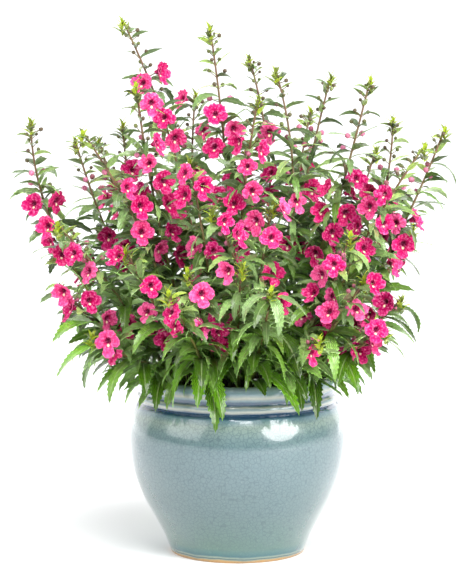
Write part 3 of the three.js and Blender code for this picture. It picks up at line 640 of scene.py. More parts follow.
def clear_of_pot(centre, radius):
    x, y, z = centre
    reach = math.hypot(x, y)
    if z - radius > POT_HEIGHT + POT_GAP:
        return True
    if reach > LIP_RADIUS:
        wall = min(BODY_OUTLINE[5][0], LIP_RADIUS + POT_GAP + SHOULDER_SLOPE * max(0, SHOULDER_TOP - z))
        return reach - radius > wall + CLEARANCE
    return reach + radius < MOUTH_RADIUS - 1 and z - radius > SOIL_LEVEL + POT_GAP


UP = point(0, 0, 1)
room = {"count": 0, "centre": np.zeros((ROOM_SIZE, 3)), "radius": np.zeros(ROOM_SIZE)}
room["owner"], room["near"] = np.zeros(ROOM_SIZE, int), np.zeros(ROOM_SIZE, bool)
print("balls that fit in the room:", ROOM_SIZE)

# %% [markdown]
# ### Testing and taking room
#
# A part first asks which balls are close at all, and then compares each pair. A part of the same stem may
# come nearer than a part of another one. Chance comes from a seeded row of draws, a new one for each stem
# and purpose, so that the plant is the same in every run.

# %% Test and take room
DRAW_STEP, DRAW_MODULUS = 16807, 2147483647


def clear_of_plant(balls):
    centre = np.array([b[0] for b in balls])
    radius = np.array([b[1] for b in balls])
    near = np.array([b[3] for b in balls])
    count = room["count"]
    middle = centre.mean(axis=0)
    span = np.max(np.sqrt(((centre - middle) ** 2).sum(axis=1)) + radius) + CLEARANCE + 0.01
    away = np.sqrt(((room["centre"][:count] - middle) ** 2).sum(axis=1))
    close = np.nonzero(away < span + room["radius"][:count])[0]
    if not len(close):
        return True
    gap = ((centre[:, None] - room["centre"][close][None]) ** 2).sum(axis=2)
    total = radius[:, None] + room["radius"][close][None]
    own = (room["owner"][close] == balls[0][2])[None]
    need = np.where(own, (OWN_SHARE * total) ** 2, (total + CLEARANCE) ** 2)
    excused = own & (near[:, None] | room["near"][close][None])
    return bool(np.all((gap >= need) | excused))


def settle(piece):
    for centre, radius, owner, near in piece["balls"]:
        k = room["count"]
        room["centre"][k], room["radius"][k], room["owner"][k], room["near"][k] = centre, radius, owner, near
        room["count"] += 1
    return piece


def stem_draws(stem, seed):
    state = seed * (stem["owner"] + 1) % DRAW_MODULUS
    while True:
        state = (state * DRAW_STEP) % DRAW_MODULUS
        yield state / DRAW_MODULUS


def drawn(draw, low, span):
    return low + span * next(draw)


print("first draw of a stem:", round(next(stem_draws({"owner": 0}, 1)), 6))

# %% [markdown]
# ## Curves of the stems
#
# A stem leaves the soil at a slant and straightens as it climbs. A Bezier curve does that with four points.
# The CAD stem is straight between a few rings on that curve, and what grows on it is placed on those
# straights.

# %% Curves of the stems
def bezier(curve, t):
    a, b, c, d = curve
    s = 1 - t
    return a * (s * s * s) + b * (3 * s * s * t) + c * (3 * s * t * t) + d * (t * t * t)


def bezier_heading(curve, t):
    a, b, c, d = curve
    s = 1 - t
    line = a * (-s * s) + b * (s * s - 2 * s * t) + c * (2 * s * t - t * t) + d * (t * t)
    return line * (1 / math.sqrt(line @ line))


def stem_radius(t):
    return STEM_RADIUS + (STEM_TIP_RADIUS - STEM_RADIUS) * t


def stem_point(stem, t):
    places, points = stem["places"], stem["points"]
    first = max([0] + [k for k in range(len(places) - 1) if places[k] <= t])
    share = (t - places[first]) / (places[first + 1] - places[first])
    return points[first] + (points[first + 1] - points[first]) * share


print("stem radius half way up:", stem_radius(0.5), "mm")

# %% [markdown]
# ### One stem
#
# The slope at the foot comes from where the tip is, up to a limit, because a stem that leaned more would
# lie on the lip. The balls follow the straights, and a few more go down into the soil.

# %% One stem
BOW = 0.33


def stem_at(foot, tip, lean, owner):
    height = tip[2] - foot[2]
    slope = [(2 * (tip[0] - foot[0])) / height - lean, (1.6 * (tip[1] - foot[1])) / height]
    limit = min(1, STEEPEST_SPREAD / max(math.hypot(*slope), 1e-6))
    start = foot + point(slope[0] * limit, slope[1] * limit, 1) * (BOW * height)
    end = tip + point(lean, (0.4 * (tip[1] - foot[1])) / height, 1) * (-BOW * height)
    curve = [foot, start, end, tip]
    heading = bezier_heading(curve, 0)
    length = math.dist(foot, tip)
    rings = TALL_RINGS if length > TALL_STEM else SHORT_RINGS
    stem = {
        "owner": owner, "curve": curve, "length": length, "heading": heading,
        "places": [COLLAR / length, *rings, 1],
        "points": [foot + heading * COLLAR, *(bezier(curve, t) for t in rings), tip],
    }
    count = math.ceil(length / BALL_STEP)
    stem["balls"] = [
        ball(stem_point(stem, k / count), stem_radius(k / count) + 0.3, owner, True) for k in range(count + 1)
    ]
    for depth in range(0, STEM_DEPTH + 1, BALL_STEP):
        stem["balls"].append(ball(foot - heading * depth, STEM_RADIUS + FIT_GAP, owner, True))
    return stem


print("rings on a tall and on a short stem:", len(TALL_RINGS), len(SHORT_RINGS))

# %% [markdown]
# ### All the stems
#
# Each stem tries feet on a slowly widening spiral round its best place, and takes the first that is free.
# The flowers of the stems in front face the viewer, and those behind face outwards.

# %% Plant the stems
FOOT_TRIES, TRY_TURN, TRY_STEP = 400, 2.4, 1.7


def turn_towards(bearing, goal, share):
    return goal + share * math.atan2(math.sin(bearing - goal), math.cos(bearing - goal))


def plant_stem(tip, lean, owner, foot_share=FOOT_SHARE):
    share = min(foot_share, FOOT_REACH / math.hypot(tip[0], tip[1]))
    for n in range(FOOT_TRIES):
        turn, step = n * TRY_TURN, TRY_STEP * math.sqrt(n)
        x = tip[0] * share + step * math.cos(turn)
        y = tip[1] * share + step * math.sin(turn)
        if math.hypot(x, y) > FOOT_REACH:
            continue
        stem = stem_at(point(x, y, SOIL_LEVEL), tip, lean, owner)
        if clear_of_plant(stem["balls"]):
            return settle(stem)
    raise RuntimeError(f"no room for stem {owner}")


tall_stems, rim_stems = [], []
for k, (x, y, z, lean, blooms, leaf_spots) in enumerate(SPIRES + FRONT_SHOOTS + BACK_SHOOTS):
    stem = plant_stem(point(x, y, z), lean, k)
    stem["open_side"] = FRONT if isinstance(blooms, list) else math.atan2(y - 70, x)
    stem["bloom_spots"], stem["leaf_spots"] = blooms, leaf_spots
    tall_stems.append(stem)
for k, degrees in enumerate(RIM_BEARINGS):
    bearing = degrees * DEG
    tip = point(RIM_SHOOT_REACH * math.cos(bearing), RIM_SHOOT_REACH * math.sin(bearing), RIM_SHOOT_TOP)
    rim_stems.append(plant_stem(tip, 0.5 * math.cos(bearing), len(tall_stems) + k, RIM_FOOT_SHARE))
print("balls after the stems:", room["count"])

# %% [markdown]
# ## Shape of a leaf
#
# An angelonia leaf is a narrow blade that rises from its stem and arches over. Its middle line is an arc of
# a circle, so a rise, a bend and a length give every point on it, and the blade folds up a little along the
# rib.

# %% Shape of a leaf
def level_heading(bearing):
    return point(math.cos(bearing), math.sin(bearing), 0)


def leaf_axes(leaf, s):
    angle = leaf["rise"] - leaf["bend"] * s
    reach = (leaf["length"] * (math.sin(leaf["rise"]) - math.sin(angle))) / leaf["bend"]
    lift = (leaf["length"] * (math.cos(angle) - math.cos(leaf["rise"]))) / leaf["bend"]
    out = level_heading(leaf["bearing"])
    flat = point(-out[1], out[0], 0)
    upright = out * -math.sin(angle) + UP * math.cos(angle)
    side = flat * math.cos(leaf["roll"]) + upright * math.sin(leaf["roll"])
    normal = upright * math.cos(leaf["roll"]) + flat * -math.sin(leaf["roll"])
    middle = leaf["root"] + out * reach + UP * lift
    return middle, side, normal


def leaf_half_width(leaf, s):
    return max(0.4, leaf["half_width"] * math.sin(math.pi * min(1, 0.08 + 0.92 * s) ** 0.85))


def add_leaf_balls(leaf):
    count = math.ceil(leaf["length"] / 6)
    for k in range(1, count + 1):
        s = k / count
        half_width = leaf_half_width(leaf, s)
        middle, side, normal = leaf_axes(leaf, s)
        raised = middle + normal * (LEAF_FOLD * half_width)
        near = s * leaf["length"] < 12
        radius = 1.2 + 0.2 * half_width
        leaf["balls"].append(ball(middle, radius, leaf["owner"], near))
        if half_width > 2.5:
            for edge in (raised + side * half_width, raised + side * -half_width):
                leaf["balls"].append(ball(edge + (middle - edge) * 0.3, radius, leaf["owner"], near))
    return leaf


print("half width in the middle of a leaf of 10:", round(leaf_half_width({"half_width": 10}, 0.5), 2))

# %% [markdown]
# ## Shape of a bloom and of a bud
#
# A bloom hangs on a short stalk and turns its face to the light. Three directions at right angles hold it:
# where it faces, across, and its own top. A bud is only a stalk and a ball, so a bearing, a rise and a
# length do.

# %% Shape of a bloom and of a bud
def bloom_frame(bloom):
    out = level_heading(bloom["bearing"])
    ahead = level_heading(turn_towards(bloom["bearing"], bloom["open_side"], 0.5))
    facing = ahead * math.cos(bloom["tilt"]) + UP * math.sin(bloom["tilt"])
    across = point(-ahead[1], ahead[0], 0)
    top = np.cross(facing, across)
    calyx = bloom["root"] + out * (PEDICEL * 0.87) + UP * (PEDICEL * 0.5)
    return facing, across, top, calyx, calyx + facing * CALYX_DEPTH


def add_bloom_balls(bloom):
    facing, across, top, calyx, centre = bloom_frame(bloom)
    for turn, reach, forward in LOBES:
        turn, reach_in, forward_in = turn * DEG, 0.62 * bloom["size"] * reach, 0.4 * forward - 1
        spot = centre + across * (reach_in * math.sin(turn)) + top * (reach_in * math.cos(turn))
        spot = spot + facing * forward_in
        bloom["balls"].append(ball(spot, 0.45 * bloom["size"] * reach, bloom["owner"]))
    bloom["balls"].append(ball(centre - facing * THROAT_DEPTH, 3.2, bloom["owner"]))
    bloom["balls"].append(ball(calyx + (bloom["root"] - calyx) * 0.4, 1.6, bloom["owner"], True))
    return bloom


def bud_point(bud, s):
    out = level_heading(bud["bearing"])
    reach = s * bud["length"]
    return bud["root"] + out * (reach * math.cos(bud["rise"])) + UP * (reach * math.sin(bud["rise"]))


def add_bud_balls(bud):
    bud["balls"].append(ball(bud_point(bud, 1), BUD_RADIUS + 0.3, bud["owner"]))
    bud["balls"].append(ball(bud_point(bud, 0.55), 1, bud["owner"], True))
    return bud


print("stalk of a bloom:", PEDICEL, "mm, of a bud:", BUD_STALK, "mm")

# %% [markdown]
# ## Finding a free place
#
# A part starts at its listed place. If that is taken it turns round the stem in steps, then slides a little
# up or down, as a real one grows where there is light. If nothing is free, it is left out.

# %% Find a free place
LONGEST_BUD_RUN, SHORTEST_BUD_RUN = 85, 18


def find_place(stem, t, bearing, add_balls, facts):
    for shift in SHIFTS:
        for turn in TURNS:
            at = min(0.99, t + shift)
            piece = {**facts, "root": stem_point(stem, at), "t": at, "bearing": bearing + turn * DEG}
            piece.update(owner=stem["owner"], balls=[])
            add_balls(piece)
            if all(clear_of_pot(b[0], b[1]) for b in piece["balls"]) and clear_of_plant(piece["balls"]):
                return settle(piece)
    return None


def bud_run(stem):
    return min(LONGEST_BUD_RUN, max(SHORTEST_BUD_RUN, 0.3 * stem["length"] - SHORTEST_BUD_RUN))


print("places that a part may try:", len(TURNS) * len(SHIFTS))

# %% [markdown]
# ### Blooms on a stem
#
# Blooms open from the bottom of the spike, one at each joint, each a golden turn further round than the
# last.

# %% Blooms on a stem
SPIRAL_SEED, BLOOM_SEED = 7919, 15887


def spiral_spots(stem, count):
    first = next(stem_draws(stem, SPIRAL_SEED)) * 2 * math.pi
    spots = []
    for k in range(count):
        bearing = turn_towards(first + k * GOLDEN_TURN, stem["open_side"], 0.65)
        spots.append([1 - (bud_run(stem) + k * BLOOM_SPACING) / stem["length"], bearing / DEG])
    return spots


def place_blooms(stem, spots):
    draw = stem_draws(stem, BLOOM_SEED)
    found = []
    for t, degrees in spots:
        facts = {"tilt": (next(draw) - 0.35) * 30 * DEG, "open_side": stem["open_side"]}
        facts["size"] = drawn(draw, SMALLEST_BLOOM, BLOOM_SIZE_RANGE)
        found.append(find_place(stem, t, degrees * DEG, add_bloom_balls, facts))
    return [bloom for bloom in found if bloom]


print("from bloom to bloom:", BLOOM_SPACING, "mm")

# %% [markdown]
# ### Leaves and buds on a stem
#
# The large leaves get shorter towards the tip. Listed ones come first and the rest are drawn round the
# stem, more of them to the outside, where the light is. One small leaf and one bud sit close to the tip.

# %% Leaves and buds on a stem
LEAF_SEED, TIP_SEED, BUD_SEED = 104729, 15485863, 32452843
SPIRE_LEAVES, SHOOT_LEAVES = [0.27, 0.45, 0.5, 0.8], [0.26, 0.29, 0.46, 0.5, 0.7]


def place_leaf(stem, draw, t, bearing, length, rise):
    facts = {"length": length, "rise": rise}
    facts["half_width"] = length * drawn(draw, 0.1, 0.03)
    facts["bend"] = drawn(draw, 55, 65) * DEG
    facts["roll"] = (next(draw) - 0.5) * 70 * DEG
    return find_place(stem, t, bearing, add_leaf_balls, facts)


def place_large_leaves(stem):
    draw = stem_draws(stem, LEAF_SEED)
    foot, tip = stem["curve"][0], stem["curve"][3]
    outward = math.atan2(tip[1] - foot[1], tip[0] - foot[0])
    found = []
    for t, degrees, length, rise in stem["leaf_spots"]:
        found.append(place_leaf(stem, draw, t, degrees * DEG, length, rise * DEG))
    first = next(draw) * 2 * math.pi
    spire = stem["length"] > TALL_STEM and stem["open_side"] == FRONT
    for k, t in enumerate(SPIRE_LEAVES if spire else SHOOT_LEAVES):
        bearing = turn_towards(first + k * 137 * DEG, outward, 0.8)
        length = 66 - 52 * (t - 0.2) + 8 * next(draw)
        rise = drawn(draw, 15, 35) * DEG
        found.append(place_leaf(stem, draw, t, bearing, length, rise))
    return [leaf for leaf in found if leaf]


def place_tip_leaf(stem):
    draw = stem_draws(stem, TIP_SEED)
    bearing, length = next(draw) * 2 * math.pi, drawn(draw, 18, 6)
    leaf = place_leaf(stem, draw, 0.96, bearing, length, 55 * DEG)
    return [leaf] if leaf else []


def place_bud(stem):
    if stem["length"] < TALL_STEM:
        return []
    draw = stem_draws(stem, BUD_SEED)
    first = next(draw) * 2 * math.pi
    facts = {"rise": drawn(draw, 15, 30) * DEG, "length": BUD_STALK}
    bud = find_place(stem, 1 - BUD_DEPTH / stem["length"], first, add_bud_balls, facts)
    return [bud] if bud else []


print("large leaves drawn for a tall stem:", len(SPIRE_LEAVES))

# %% [markdown]
# ### Toothed leaves
#
# The oldest leaves, at the rim, are long, glossy and toothed, and hang down over the lip. They lie flat,
# without a roll, so that their tips clear the belly of the pot.

# %% Toothed leaves
LIP_SEED, RIM_SEED = 86028121, 49979687
RIM_LEAVES = [[0.7, 0, -25], [0.96, -50, -25], [0.9, 50, -10], [0.5, 0, 30]]


def place_toothed_leaf(stem, draw, t, bearing, length, rise, bend):
    facts = {"length": length, "rise": rise, "bend": bend, "roll": 0, "glossy": True}
    facts["half_width"] = length * drawn(draw, 0.115, 0.02)
    return find_place(stem, t, bearing, add_leaf_balls, facts)


def place_lip_leaves(stem, rows):
    draw = stem_draws(stem, LIP_SEED)
    found = []
    for t, degrees, length, rise, bend in rows:
        found.append(place_toothed_leaf(stem, draw, t, degrees * DEG, length, rise * DEG, bend * DEG))
    return [leaf for leaf in found if leaf]


def place_rim_leaves(stem, bearing):
    draw = stem_draws(stem, RIM_SEED)
    found = []
    for t, turn, lowest in RIM_LEAVES:
        length = drawn(draw, 62, 16)
        rise = drawn(draw, lowest, 12) * DEG
        bend = drawn(draw, 60, 35) * DEG
        found.append(place_toothed_leaf(stem, draw, t, bearing + turn * DEG, length, rise, bend))
    return [leaf for leaf in found if leaf]


print("toothed leaves listed:", sum(len(rows) for rows in LIP_LEAVES.values()))

# %% [markdown]
# ### The whole plant
#
# What is seen best takes its place first: the leaves over the lip, then the blooms, then the other leaves,
# and last the buds. The order matters, because each part goes round those that are there.

# %% Leaves, blooms and buds find their places
stems = tall_stems + rim_stems
names = [f"spire_{k + 1}" for k in range(len(SPIRES))]
names += [f"front_shoot_{k + 1}" for k in range(len(FRONT_SHOOTS))]
names += [f"back_shoot_{k + 1}" for k in range(len(BACK_SHOOTS))]
names += [f"rim_shoot_{k + 1}" for k in range(len(RIM_BEARINGS))]
for name, stem in zip(names, stems):
    stem["leaves"], stem["blooms"], stem["buds"] = place_lip_leaves(stem, LIP_LEAVES.get(name, [])), [], []
for stem, degrees in zip(rim_stems, RIM_BEARINGS):
    stem["leaves"] += place_rim_leaves(stem, degrees * DEG)
for stem in tall_stems:
    spots = stem["bloom_spots"]
    stem["blooms"] = place_blooms(stem, spots if isinstance(spots, list) else spiral_spots(stem, spots))
for stem in tall_stems:
    stem["leaves"] += place_large_leaves(stem)
for stem in tall_stems:
    stem["leaves"] += place_tip_leaf(stem)
for stem in tall_stems:
    stem["buds"] = place_bud(stem)
for kind in ("blooms", "leaves", "buds"):
    print(kind, sum(len(stem[kind]) for stem in stems))

# %% [markdown]
# ## Leaf finish
#
# Angelonia leaves are narrow and toothed, rich glossy green near the pot, greyer higher up, and bright
# yellow green where the tips still grow. Every leaf carries a tone from 0 to 1 for that, and a little luck
# so that no two match. A fine noise darkens the skin in places.

# %% Leaf colour
GREENS = [
    (0.0, screen(104, 164, 6)), (0.25, screen(132, 186, 54)), (0.5, screen(166, 206, 126)),
    (0.8, screen(196, 225, 96)), (1.0, screen(220, 246, 46)),
]
leaf_finish, tree, shader = start_material("leaf")
tone, luck = stored(tree, "tone"), stored(tree, "luck")
shifted = number(tree, "MULTIPLY_ADD", number(tree, "SUBTRACT", luck, 0.5), 0.3, tone, clamp=True)
lighter = fade(tree, luck, (0.0, 0.42), (0.5, 1.3), (1.0, 2.1))
blade = blend(tree, 1.0, ramp(tree, shifted, GREENS), lighter, "MULTIPLY")
mottle = noise(tree, object_place(tree), 260)
blade = blend(tree, fade(tree, mottle, (0.35, 0), (0.75, 0.45)), blade, screen(38, 70, 22))
print("leaf greens:", len(GREENS))

# %% [markdown]
# ### Veins and gloss
#
# A pale midrib runs down the leaf, and side veins leave it at a slant, with the blade swelling between
# them. The leaf's UV map runs across and along the blade, so slanted stripes in it are the side veins on
# every leaf, however it bends. The colour is painted darker in the grooves beside each vein and lighter on
# the swell between, a painted shade and painted highlight of that relief. The skin has a thin waxy coat,
# which is what makes the highlights pale.

# %% Leaf veins and gloss
SIDE_VEINS, VEIN_SLANT = 9, -7
blade_map = surface_map(tree, "blade")
off_rib = number(tree, "ABSOLUTE", number(tree, "SUBTRACT", one_axis(tree, blade_map, "X"), 0.5))
length_way = number(tree, "MULTIPLY", one_axis(tree, blade_map, "Y"), SIDE_VEINS)
stripe = number(tree, "PINGPONG", number(tree, "MULTIPLY_ADD", off_rib, VEIN_SLANT, length_way), 0.5)
# Painted shade in the grooves beside each side vein and painted highlight on the swell between, multiplied
# into the leaf colour.
quilt_painted_shade_and_light = fade(tree, stripe, (0.0, 0.45), (0.2, 0.9), (0.42, 1.55))
blade = blend(tree, 0.9, blade, quilt_painted_shade_and_light, "MULTIPLY")
veins = number(tree, "MULTIPLY", fade(tree, stripe, (0.0, 1), (0.12, 0)), 0.35)
vein = number(tree, "MAXIMUM", veins, fade(tree, off_rib, (0.03, 1), (0.08, 0)))
pale = blend(tree, 0.6, blade, screen(206, 226, 160))
blade = blend(tree, number(tree, "MULTIPLY", vein, 0.8), blade, pale)
gloss = number(tree, "MULTIPLY_ADD", tone, 0.12, 0.24)
relief = number(tree, "SUBTRACT", number(tree, "MULTIPLY", mottle, 0.4), vein)
relief = number(tree, "ADD", relief, number(tree, "MULTIPLY", stripe, 2))
feed(tree, shader, {
    "Base Color": blade, "Roughness": number(tree, "ADD", gloss, number(tree, "MULTIPLY", mottle, 0.12)),
    "Normal": bump(tree, relief, 1.0, 0.0018), "Coat Weight": 0.8, "Coat Roughness": 0.16,
})
print("leaf nodes:", len(tree.nodes))

# %% [markdown]
# ## Stem finish
#
# The stems are fresh green above the soil and turn red brown in their upper half, with fine streaks. The
# tone on the mesh runs up the stem, so one ramp gives the change.

# %% Stem material
BARKS = [
    (0.0, screen(104, 124, 50)), (0.35, screen(124, 128, 58)), (0.62, screen(116, 98, 56)),
    (0.85, screen(112, 80, 56)), (1.0, screen(150, 172, 70)),
]
stem_finish, tree, shader = start_material("stem")
streaks = noise(tree, object_place(tree), 210)
less = number(tree, "SUBTRACT", stored(tree, "tone"), 0.15)
mixed = number(tree, "MULTIPLY_ADD", streaks, 0.3, less, clamp=True)
feed(tree, shader, {
    "Base Color": ramp(tree, mixed, BARKS), "Normal": bump(tree, streaks, 0.3, 0.0008), "Roughness": 0.5,
})
print("stem colours:", len(BARKS))

# %% [markdown]
# ## Calyx and bud finish
#
# Buds and calyxes are olive and brown. The largest buds already show the pink that is folded inside, so the
# upper end of their ramp is pink, and the tone of each ball picks its colour.

# %% Bud material
BUD_SKINS = [
    (0.0, screen(120, 140, 62)), (0.3, screen(104, 102, 60)), (0.55, screen(92, 72, 52)),
    (0.75, screen(160, 84, 96)), (1.0, screen(232, 128, 168)),
]
bud_finish, tree, shader = start_material("bud")
streaks = noise(tree, object_place(tree), 500, 2)
skin = ramp(tree, stored(tree, "tone"), BUD_SKINS)
skin = blend(tree, fade(tree, streaks, (0.4, 0), (0.65, 0.5)), skin, screen(66, 60, 40))
feed(tree, shader, {
    "Base Color": skin, "Normal": bump(tree, streaks, 0.25, 0.0005), "Roughness": 0.42,
})
print("bud colours:", len(BUD_SKINS))

# %% [markdown]
# ## Petal finish
#
# A bloom is hot pink and lighter along its edges, and a fine noise paints crinkles on it in painted
# highlights and painted shade. One value on the mesh runs from 0 in the throat to 1 at the rim, so a ramp
# over it gives the pinks, and another value, the bloom's age, shifts them.

# %% Petal pinks
FACE_WIDTH = 38
# The lowest stops darken the pink to near black at the bottom of the tube: the throat's own dark red, with
# painted shade of the tube over it.
PINKS = [
    (0.0, screen(64, 3, 28)), (0.2, screen(100, 4, 46)), (0.27, screen(140, 4, 62)),
    (0.34, screen(178, 2, 80)), (0.6, screen(206, 4, 96)), (0.85, screen(232, 34, 122)),
    (1.0, screen(252, 120, 178)),
]
AGES = [(0.0, screen(166, 0, 86)), (0.5, screen(226, 20, 110)), (1.0, screen(255, 116, 172))]
petal_finish, tree, shader = start_material("petal")
face, run = surface_map(tree, "face"), stored(tree, "run")
outward = number(tree, "MULTIPLY_ADD", noise(tree, face, 22, 4, 0.7), 0.34, -0.17)
outward = number(tree, "ADD", run, outward)
aged = ramp(tree, stored(tree, "age"), AGES)
pink = blend(tree, fade(tree, outward, (0.34, 0), (0.6, 0.65)), ramp(tree, outward, PINKS), aged)
# Painted highlight and painted shade of crinkles: the pink is painted lighter where this noise is high and
# darker where it is low.
crinkle = noise(tree, object_place(tree), 420, 4, 0.6)
pink = blend(tree, fade(tree, crinkle, (0.5, 0), (0.7, 0.6)), pink, screen(255, 156, 206))
pink = blend(tree, fade(tree, crinkle, (0.3, 0.65), (0.48, 0)), pink, screen(120, 0, 54))
print("pinks:", len(PINKS))

# %% [markdown]
# ### Throat, speckles and spot
#
# The throat is dark red with paler bits in it, and it is painted darker still under the upper lobes and
# down into the tube, which is painted shade. Fine dark speckles ring the mouth, and a cream spot sits on the
# lower lip. The UV map looks straight at the bloom, so the spot has a fixed place on it, and painting it this
# way needs no small pieces that could come loose.

# %% Throat, speckles and spot
SPOT, SPOT_RADIUS = (0.5, 0.5 - 4.3 / FACE_WIDTH, 0), 0.8
throat = fade(tree, outward, (0.24, 1), (0.34, 0))
# Painted shade: the throat's dark is strongest under the upper lobes.
upper = fade(tree, one_axis(tree, face, "Y"), (0.5 - 3 / FACE_WIDTH, 0.2), (0.5 + 1 / FACE_WIDTH, 1))
# Dark red falling to near black deep in the tube, painted shade over the throat's own colour.
deep = ramp(tree, run, [(0.0, screen(50, 2, 22)), (0.4, screen(140, 2, 62))])
pink = blend(tree, number(tree, "MULTIPLY", throat, upper), pink, deep)
bits = fade(tree, noise(tree, face, 70, 2), (0.54, 0), (0.62, 0.7))
pink = blend(tree, number(tree, "MULTIPLY", throat, bits), pink, screen(226, 84, 136))
dots = add(tree, "ShaderNodeTexVoronoi", {"Vector": face, "Scale": 34}).outputs["Distance"]
mouth = fade(tree, run, (0.26, 0.95), (0.6, 0))
speckle = number(tree, "MULTIPLY", fade(tree, dots, (0.3, 1), (0.4, 0)), mouth)
pink = blend(tree, speckle, pink, screen(76, 4, 40))
off_spot = add(tree, "ShaderNodeVectorMath", {0: face, 1: SPOT}, operation="DISTANCE").outputs["Value"]
cream = fade(tree, off_spot, (SPOT_RADIUS / FACE_WIDTH, 1), (2 * SPOT_RADIUS / FACE_WIDTH, 0))
cream = number(tree, "MULTIPLY", cream, fade(tree, run, (0.16, 0), (0.24, 1)))
pink = blend(tree, cream, pink, screen(250, 236, 196))
crepe = noise(tree, face, 26)
feed(tree, shader, {
    "Base Color": pink, "Normal": bump(tree, crepe, 0.6, 0.0016), "Roughness": 0.55,
    "Specular IOR Level": 0.08,
})
print("petal nodes:", len(tree.nodes))

# %% [markdown]
# ## How a blade is made
#
# Most of the plant is thin sheets and thin tubes. Both start as a flat grid, whose points are then carried
# to their places. For a leaf that is across and along the bent blade, with every second row pushed out and
# forward for the teeth. Drawing each leaf's faces by hand would be slow, and the grid brings its UV map
# with it.

# %% Sheets and leaves
BLADE, STEM, BUD = 0, 1, 2
WELD, SHEET = 0.001 * MM, 0.3


def start_greens():
    bm = bmesh.new()
    bm.loops.layers.uv.new("blade")
    for layer in ("tone", "luck"):
        bm.verts.layers.float.new(layer)
    return bm


def mark(bm, verts, tone, luck, kind):
    tone_layer, luck_layer = bm.verts.layers.float["tone"], bm.verts.layers.float["luck"]
    for v in verts:
        v[tone_layer], v[luck_layer] = tone, luck
    for f in {f for v in verts for f in v.link_faces}:
        f.material_index = kind


def grow_sheet(bm, across, along, place):
    verts = bmesh.ops.create_grid(bm, x_segments=across, y_segments=along, size=0.5, calc_uvs=True)["verts"]
    for v in verts:
        v.co = Vector(place(v.co.x + 0.5, v.co.y + 0.5)) * MM
    return verts


def grow_leaf(bm, leaf, across, along, tone, luck, tooth=0.13):
    rows = [leaf_axes(leaf, k / along) for k in range(along + 1)]
    wave = 6 * luck

    def place(u, s):
        k = round(s * along)
        middle, side, normal = rows[k]
        full = math.sin(math.pi * min(1, 0.02 + 0.98 * s) ** 0.8) ** 0.9 if 0 < k < along else 0
        width = max(0.05 if k in (0, along) else 0.5, leaf["half_width"] * full * (1 + tooth * (-1) ** k))
        v = 2 * u - 1
        lift = LEAF_FOLD * abs(v) * width + 0.5 * math.sin(wave + 9 * s + 2 * v) * abs(v) * min(1, width / 4)
        point_on = middle + side * (v * width) + normal * lift
        if tooth and 0 < k < along and k % 2 == 0:
            point_on = point_on + (rows[k + 1][0] - middle) * (0.6 * abs(v))
        return point_on
    verts = grow_sheet(bm, across, along, place)
    mark(bm, verts, tone, luck, BLADE)
    return verts


print("finishes on a piece of greens:", len({BLADE, STEM, BUD}))

# %% [markdown]
# ## How a tube and a ball are made
#
# A tube is the same grid, carried round and along a stem. It is welded at its seam, and where an end
# shrinks to a point it is welded there too, so nothing stays open. Small balls start as an icosphere, which
# is closed already.

# %% Tubes and balls
def rings_along(points):
    for k, here in enumerate(points):
        heading = points[min(k + 1, len(points) - 1)] - points[max(k - 1, 0)]
        heading = heading / math.sqrt(heading @ heading)
        reference = point(1, 0, 0) if abs(heading[1]) > 0.8 else point(0, 1, 0)
        across = np.cross(reference, heading)
        across = across / math.sqrt(across @ across)
        yield here, across, np.cross(heading, across)


def grow_tube(bm, points, radii, sides, tones, kind=STEM, luck=0.5):
    rings = list(rings_along(points))
    last = len(points) - 1

    def place(u, s):
        k = round(s * last)
        here, across, forward = rings[k]
        angle = 2 * math.pi * u
        return here + across * (radii[k] * math.cos(angle)) + forward * (radii[k] * math.sin(angle))
    verts = grow_sheet(bm, sides, last, place)
    mark(bm, verts, 0, luck, kind)
    layer = bm.verts.layers.float["tone"]
    for n, v in enumerate(verts):
        v[layer] = tones[n // (sides + 1)] if len(tones) > 1 else tones[0]
    bmesh.ops.remove_doubles(bm, verts=verts, dist=WELD)


def grow_ball(bm, centre, radius, length, heading, tone, luck=0.5):
    turn = Vector(heading).to_track_quat("Z", "Y").to_matrix().to_4x4()
    matrix = Matrix.Translation(Vector(centre) * MM) @ turn @ Matrix.Diagonal((1, 1, length, 1))
    verts = bmesh.ops.create_icosphere(bm, subdivisions=1, radius=radius * MM, matrix=matrix)["verts"]
    mark(bm, verts, tone, luck, BUD)


print("weld:", WELD / MM, "mm")

# %% [markdown]
# ## One bloom
#
# The flower is a short tube that opens into two upper lobes and three lower ones, the lowest the largest.
# It could be five petals, but in life it is one sheet, and so it is here: a grid wrapped into a disc, whose
# rim runs out to each lobe and back in to each notch, with a ruffle.

# %% Rim of a bloom
LOBE_STEPS, RADIAL_STEPS, LOBE_HALF_TURN, RUFFLE, WAVE = 8, 8, 36, 1.3, 0.45
BLOOM_LOBES = [[31, 10.6, 0.5], [102, 12.3, 1.5], [180, 14.6, 3.4], [258, 12.3, 1.5], [329, 10.6, 0.5]]


def lobe_rim(turn, seed, notch):
    nearest = min(BLOOM_LOBES, key=lambda lobe: abs((turn - lobe[0] + 180) % 360 - 180))
    off = ((turn - nearest[0] + 180) % 360 - 180) / LOBE_HALF_TURN
    rounded = max(0, math.cos(off * 90 * DEG)) ** 0.4
    wobble = 1 + 0.06 * math.sin(3 * nearest[0] * DEG + seed)
    reach = notch + (nearest[1] * wobble - notch) * rounded
    reach += WAVE * math.sin(off * 13 + seed) * rounded
    ruffle = RUFFLE * math.sin(off * 8 + seed) * (0.4 + 0.6 * abs(off))
    ruffle += 0.8 * math.sin(nearest[0] + 2 * seed)
    return reach, nearest[2] * rounded + ruffle - 1.4 * abs(off) ** 2


print("reach of the lowest lobe:", round(lobe_rim(180, 0.4, 8.8)[0], 1), "mm")

# %% [markdown]
# ### Bloom templates
#
# The middle rings dive down the throat, and a second small sheet is the outside of the tube. The same
# template is copied for every bloom, in four forms that differ in how far they open and how deep their
# notches are, so that the copies don't look stamped.

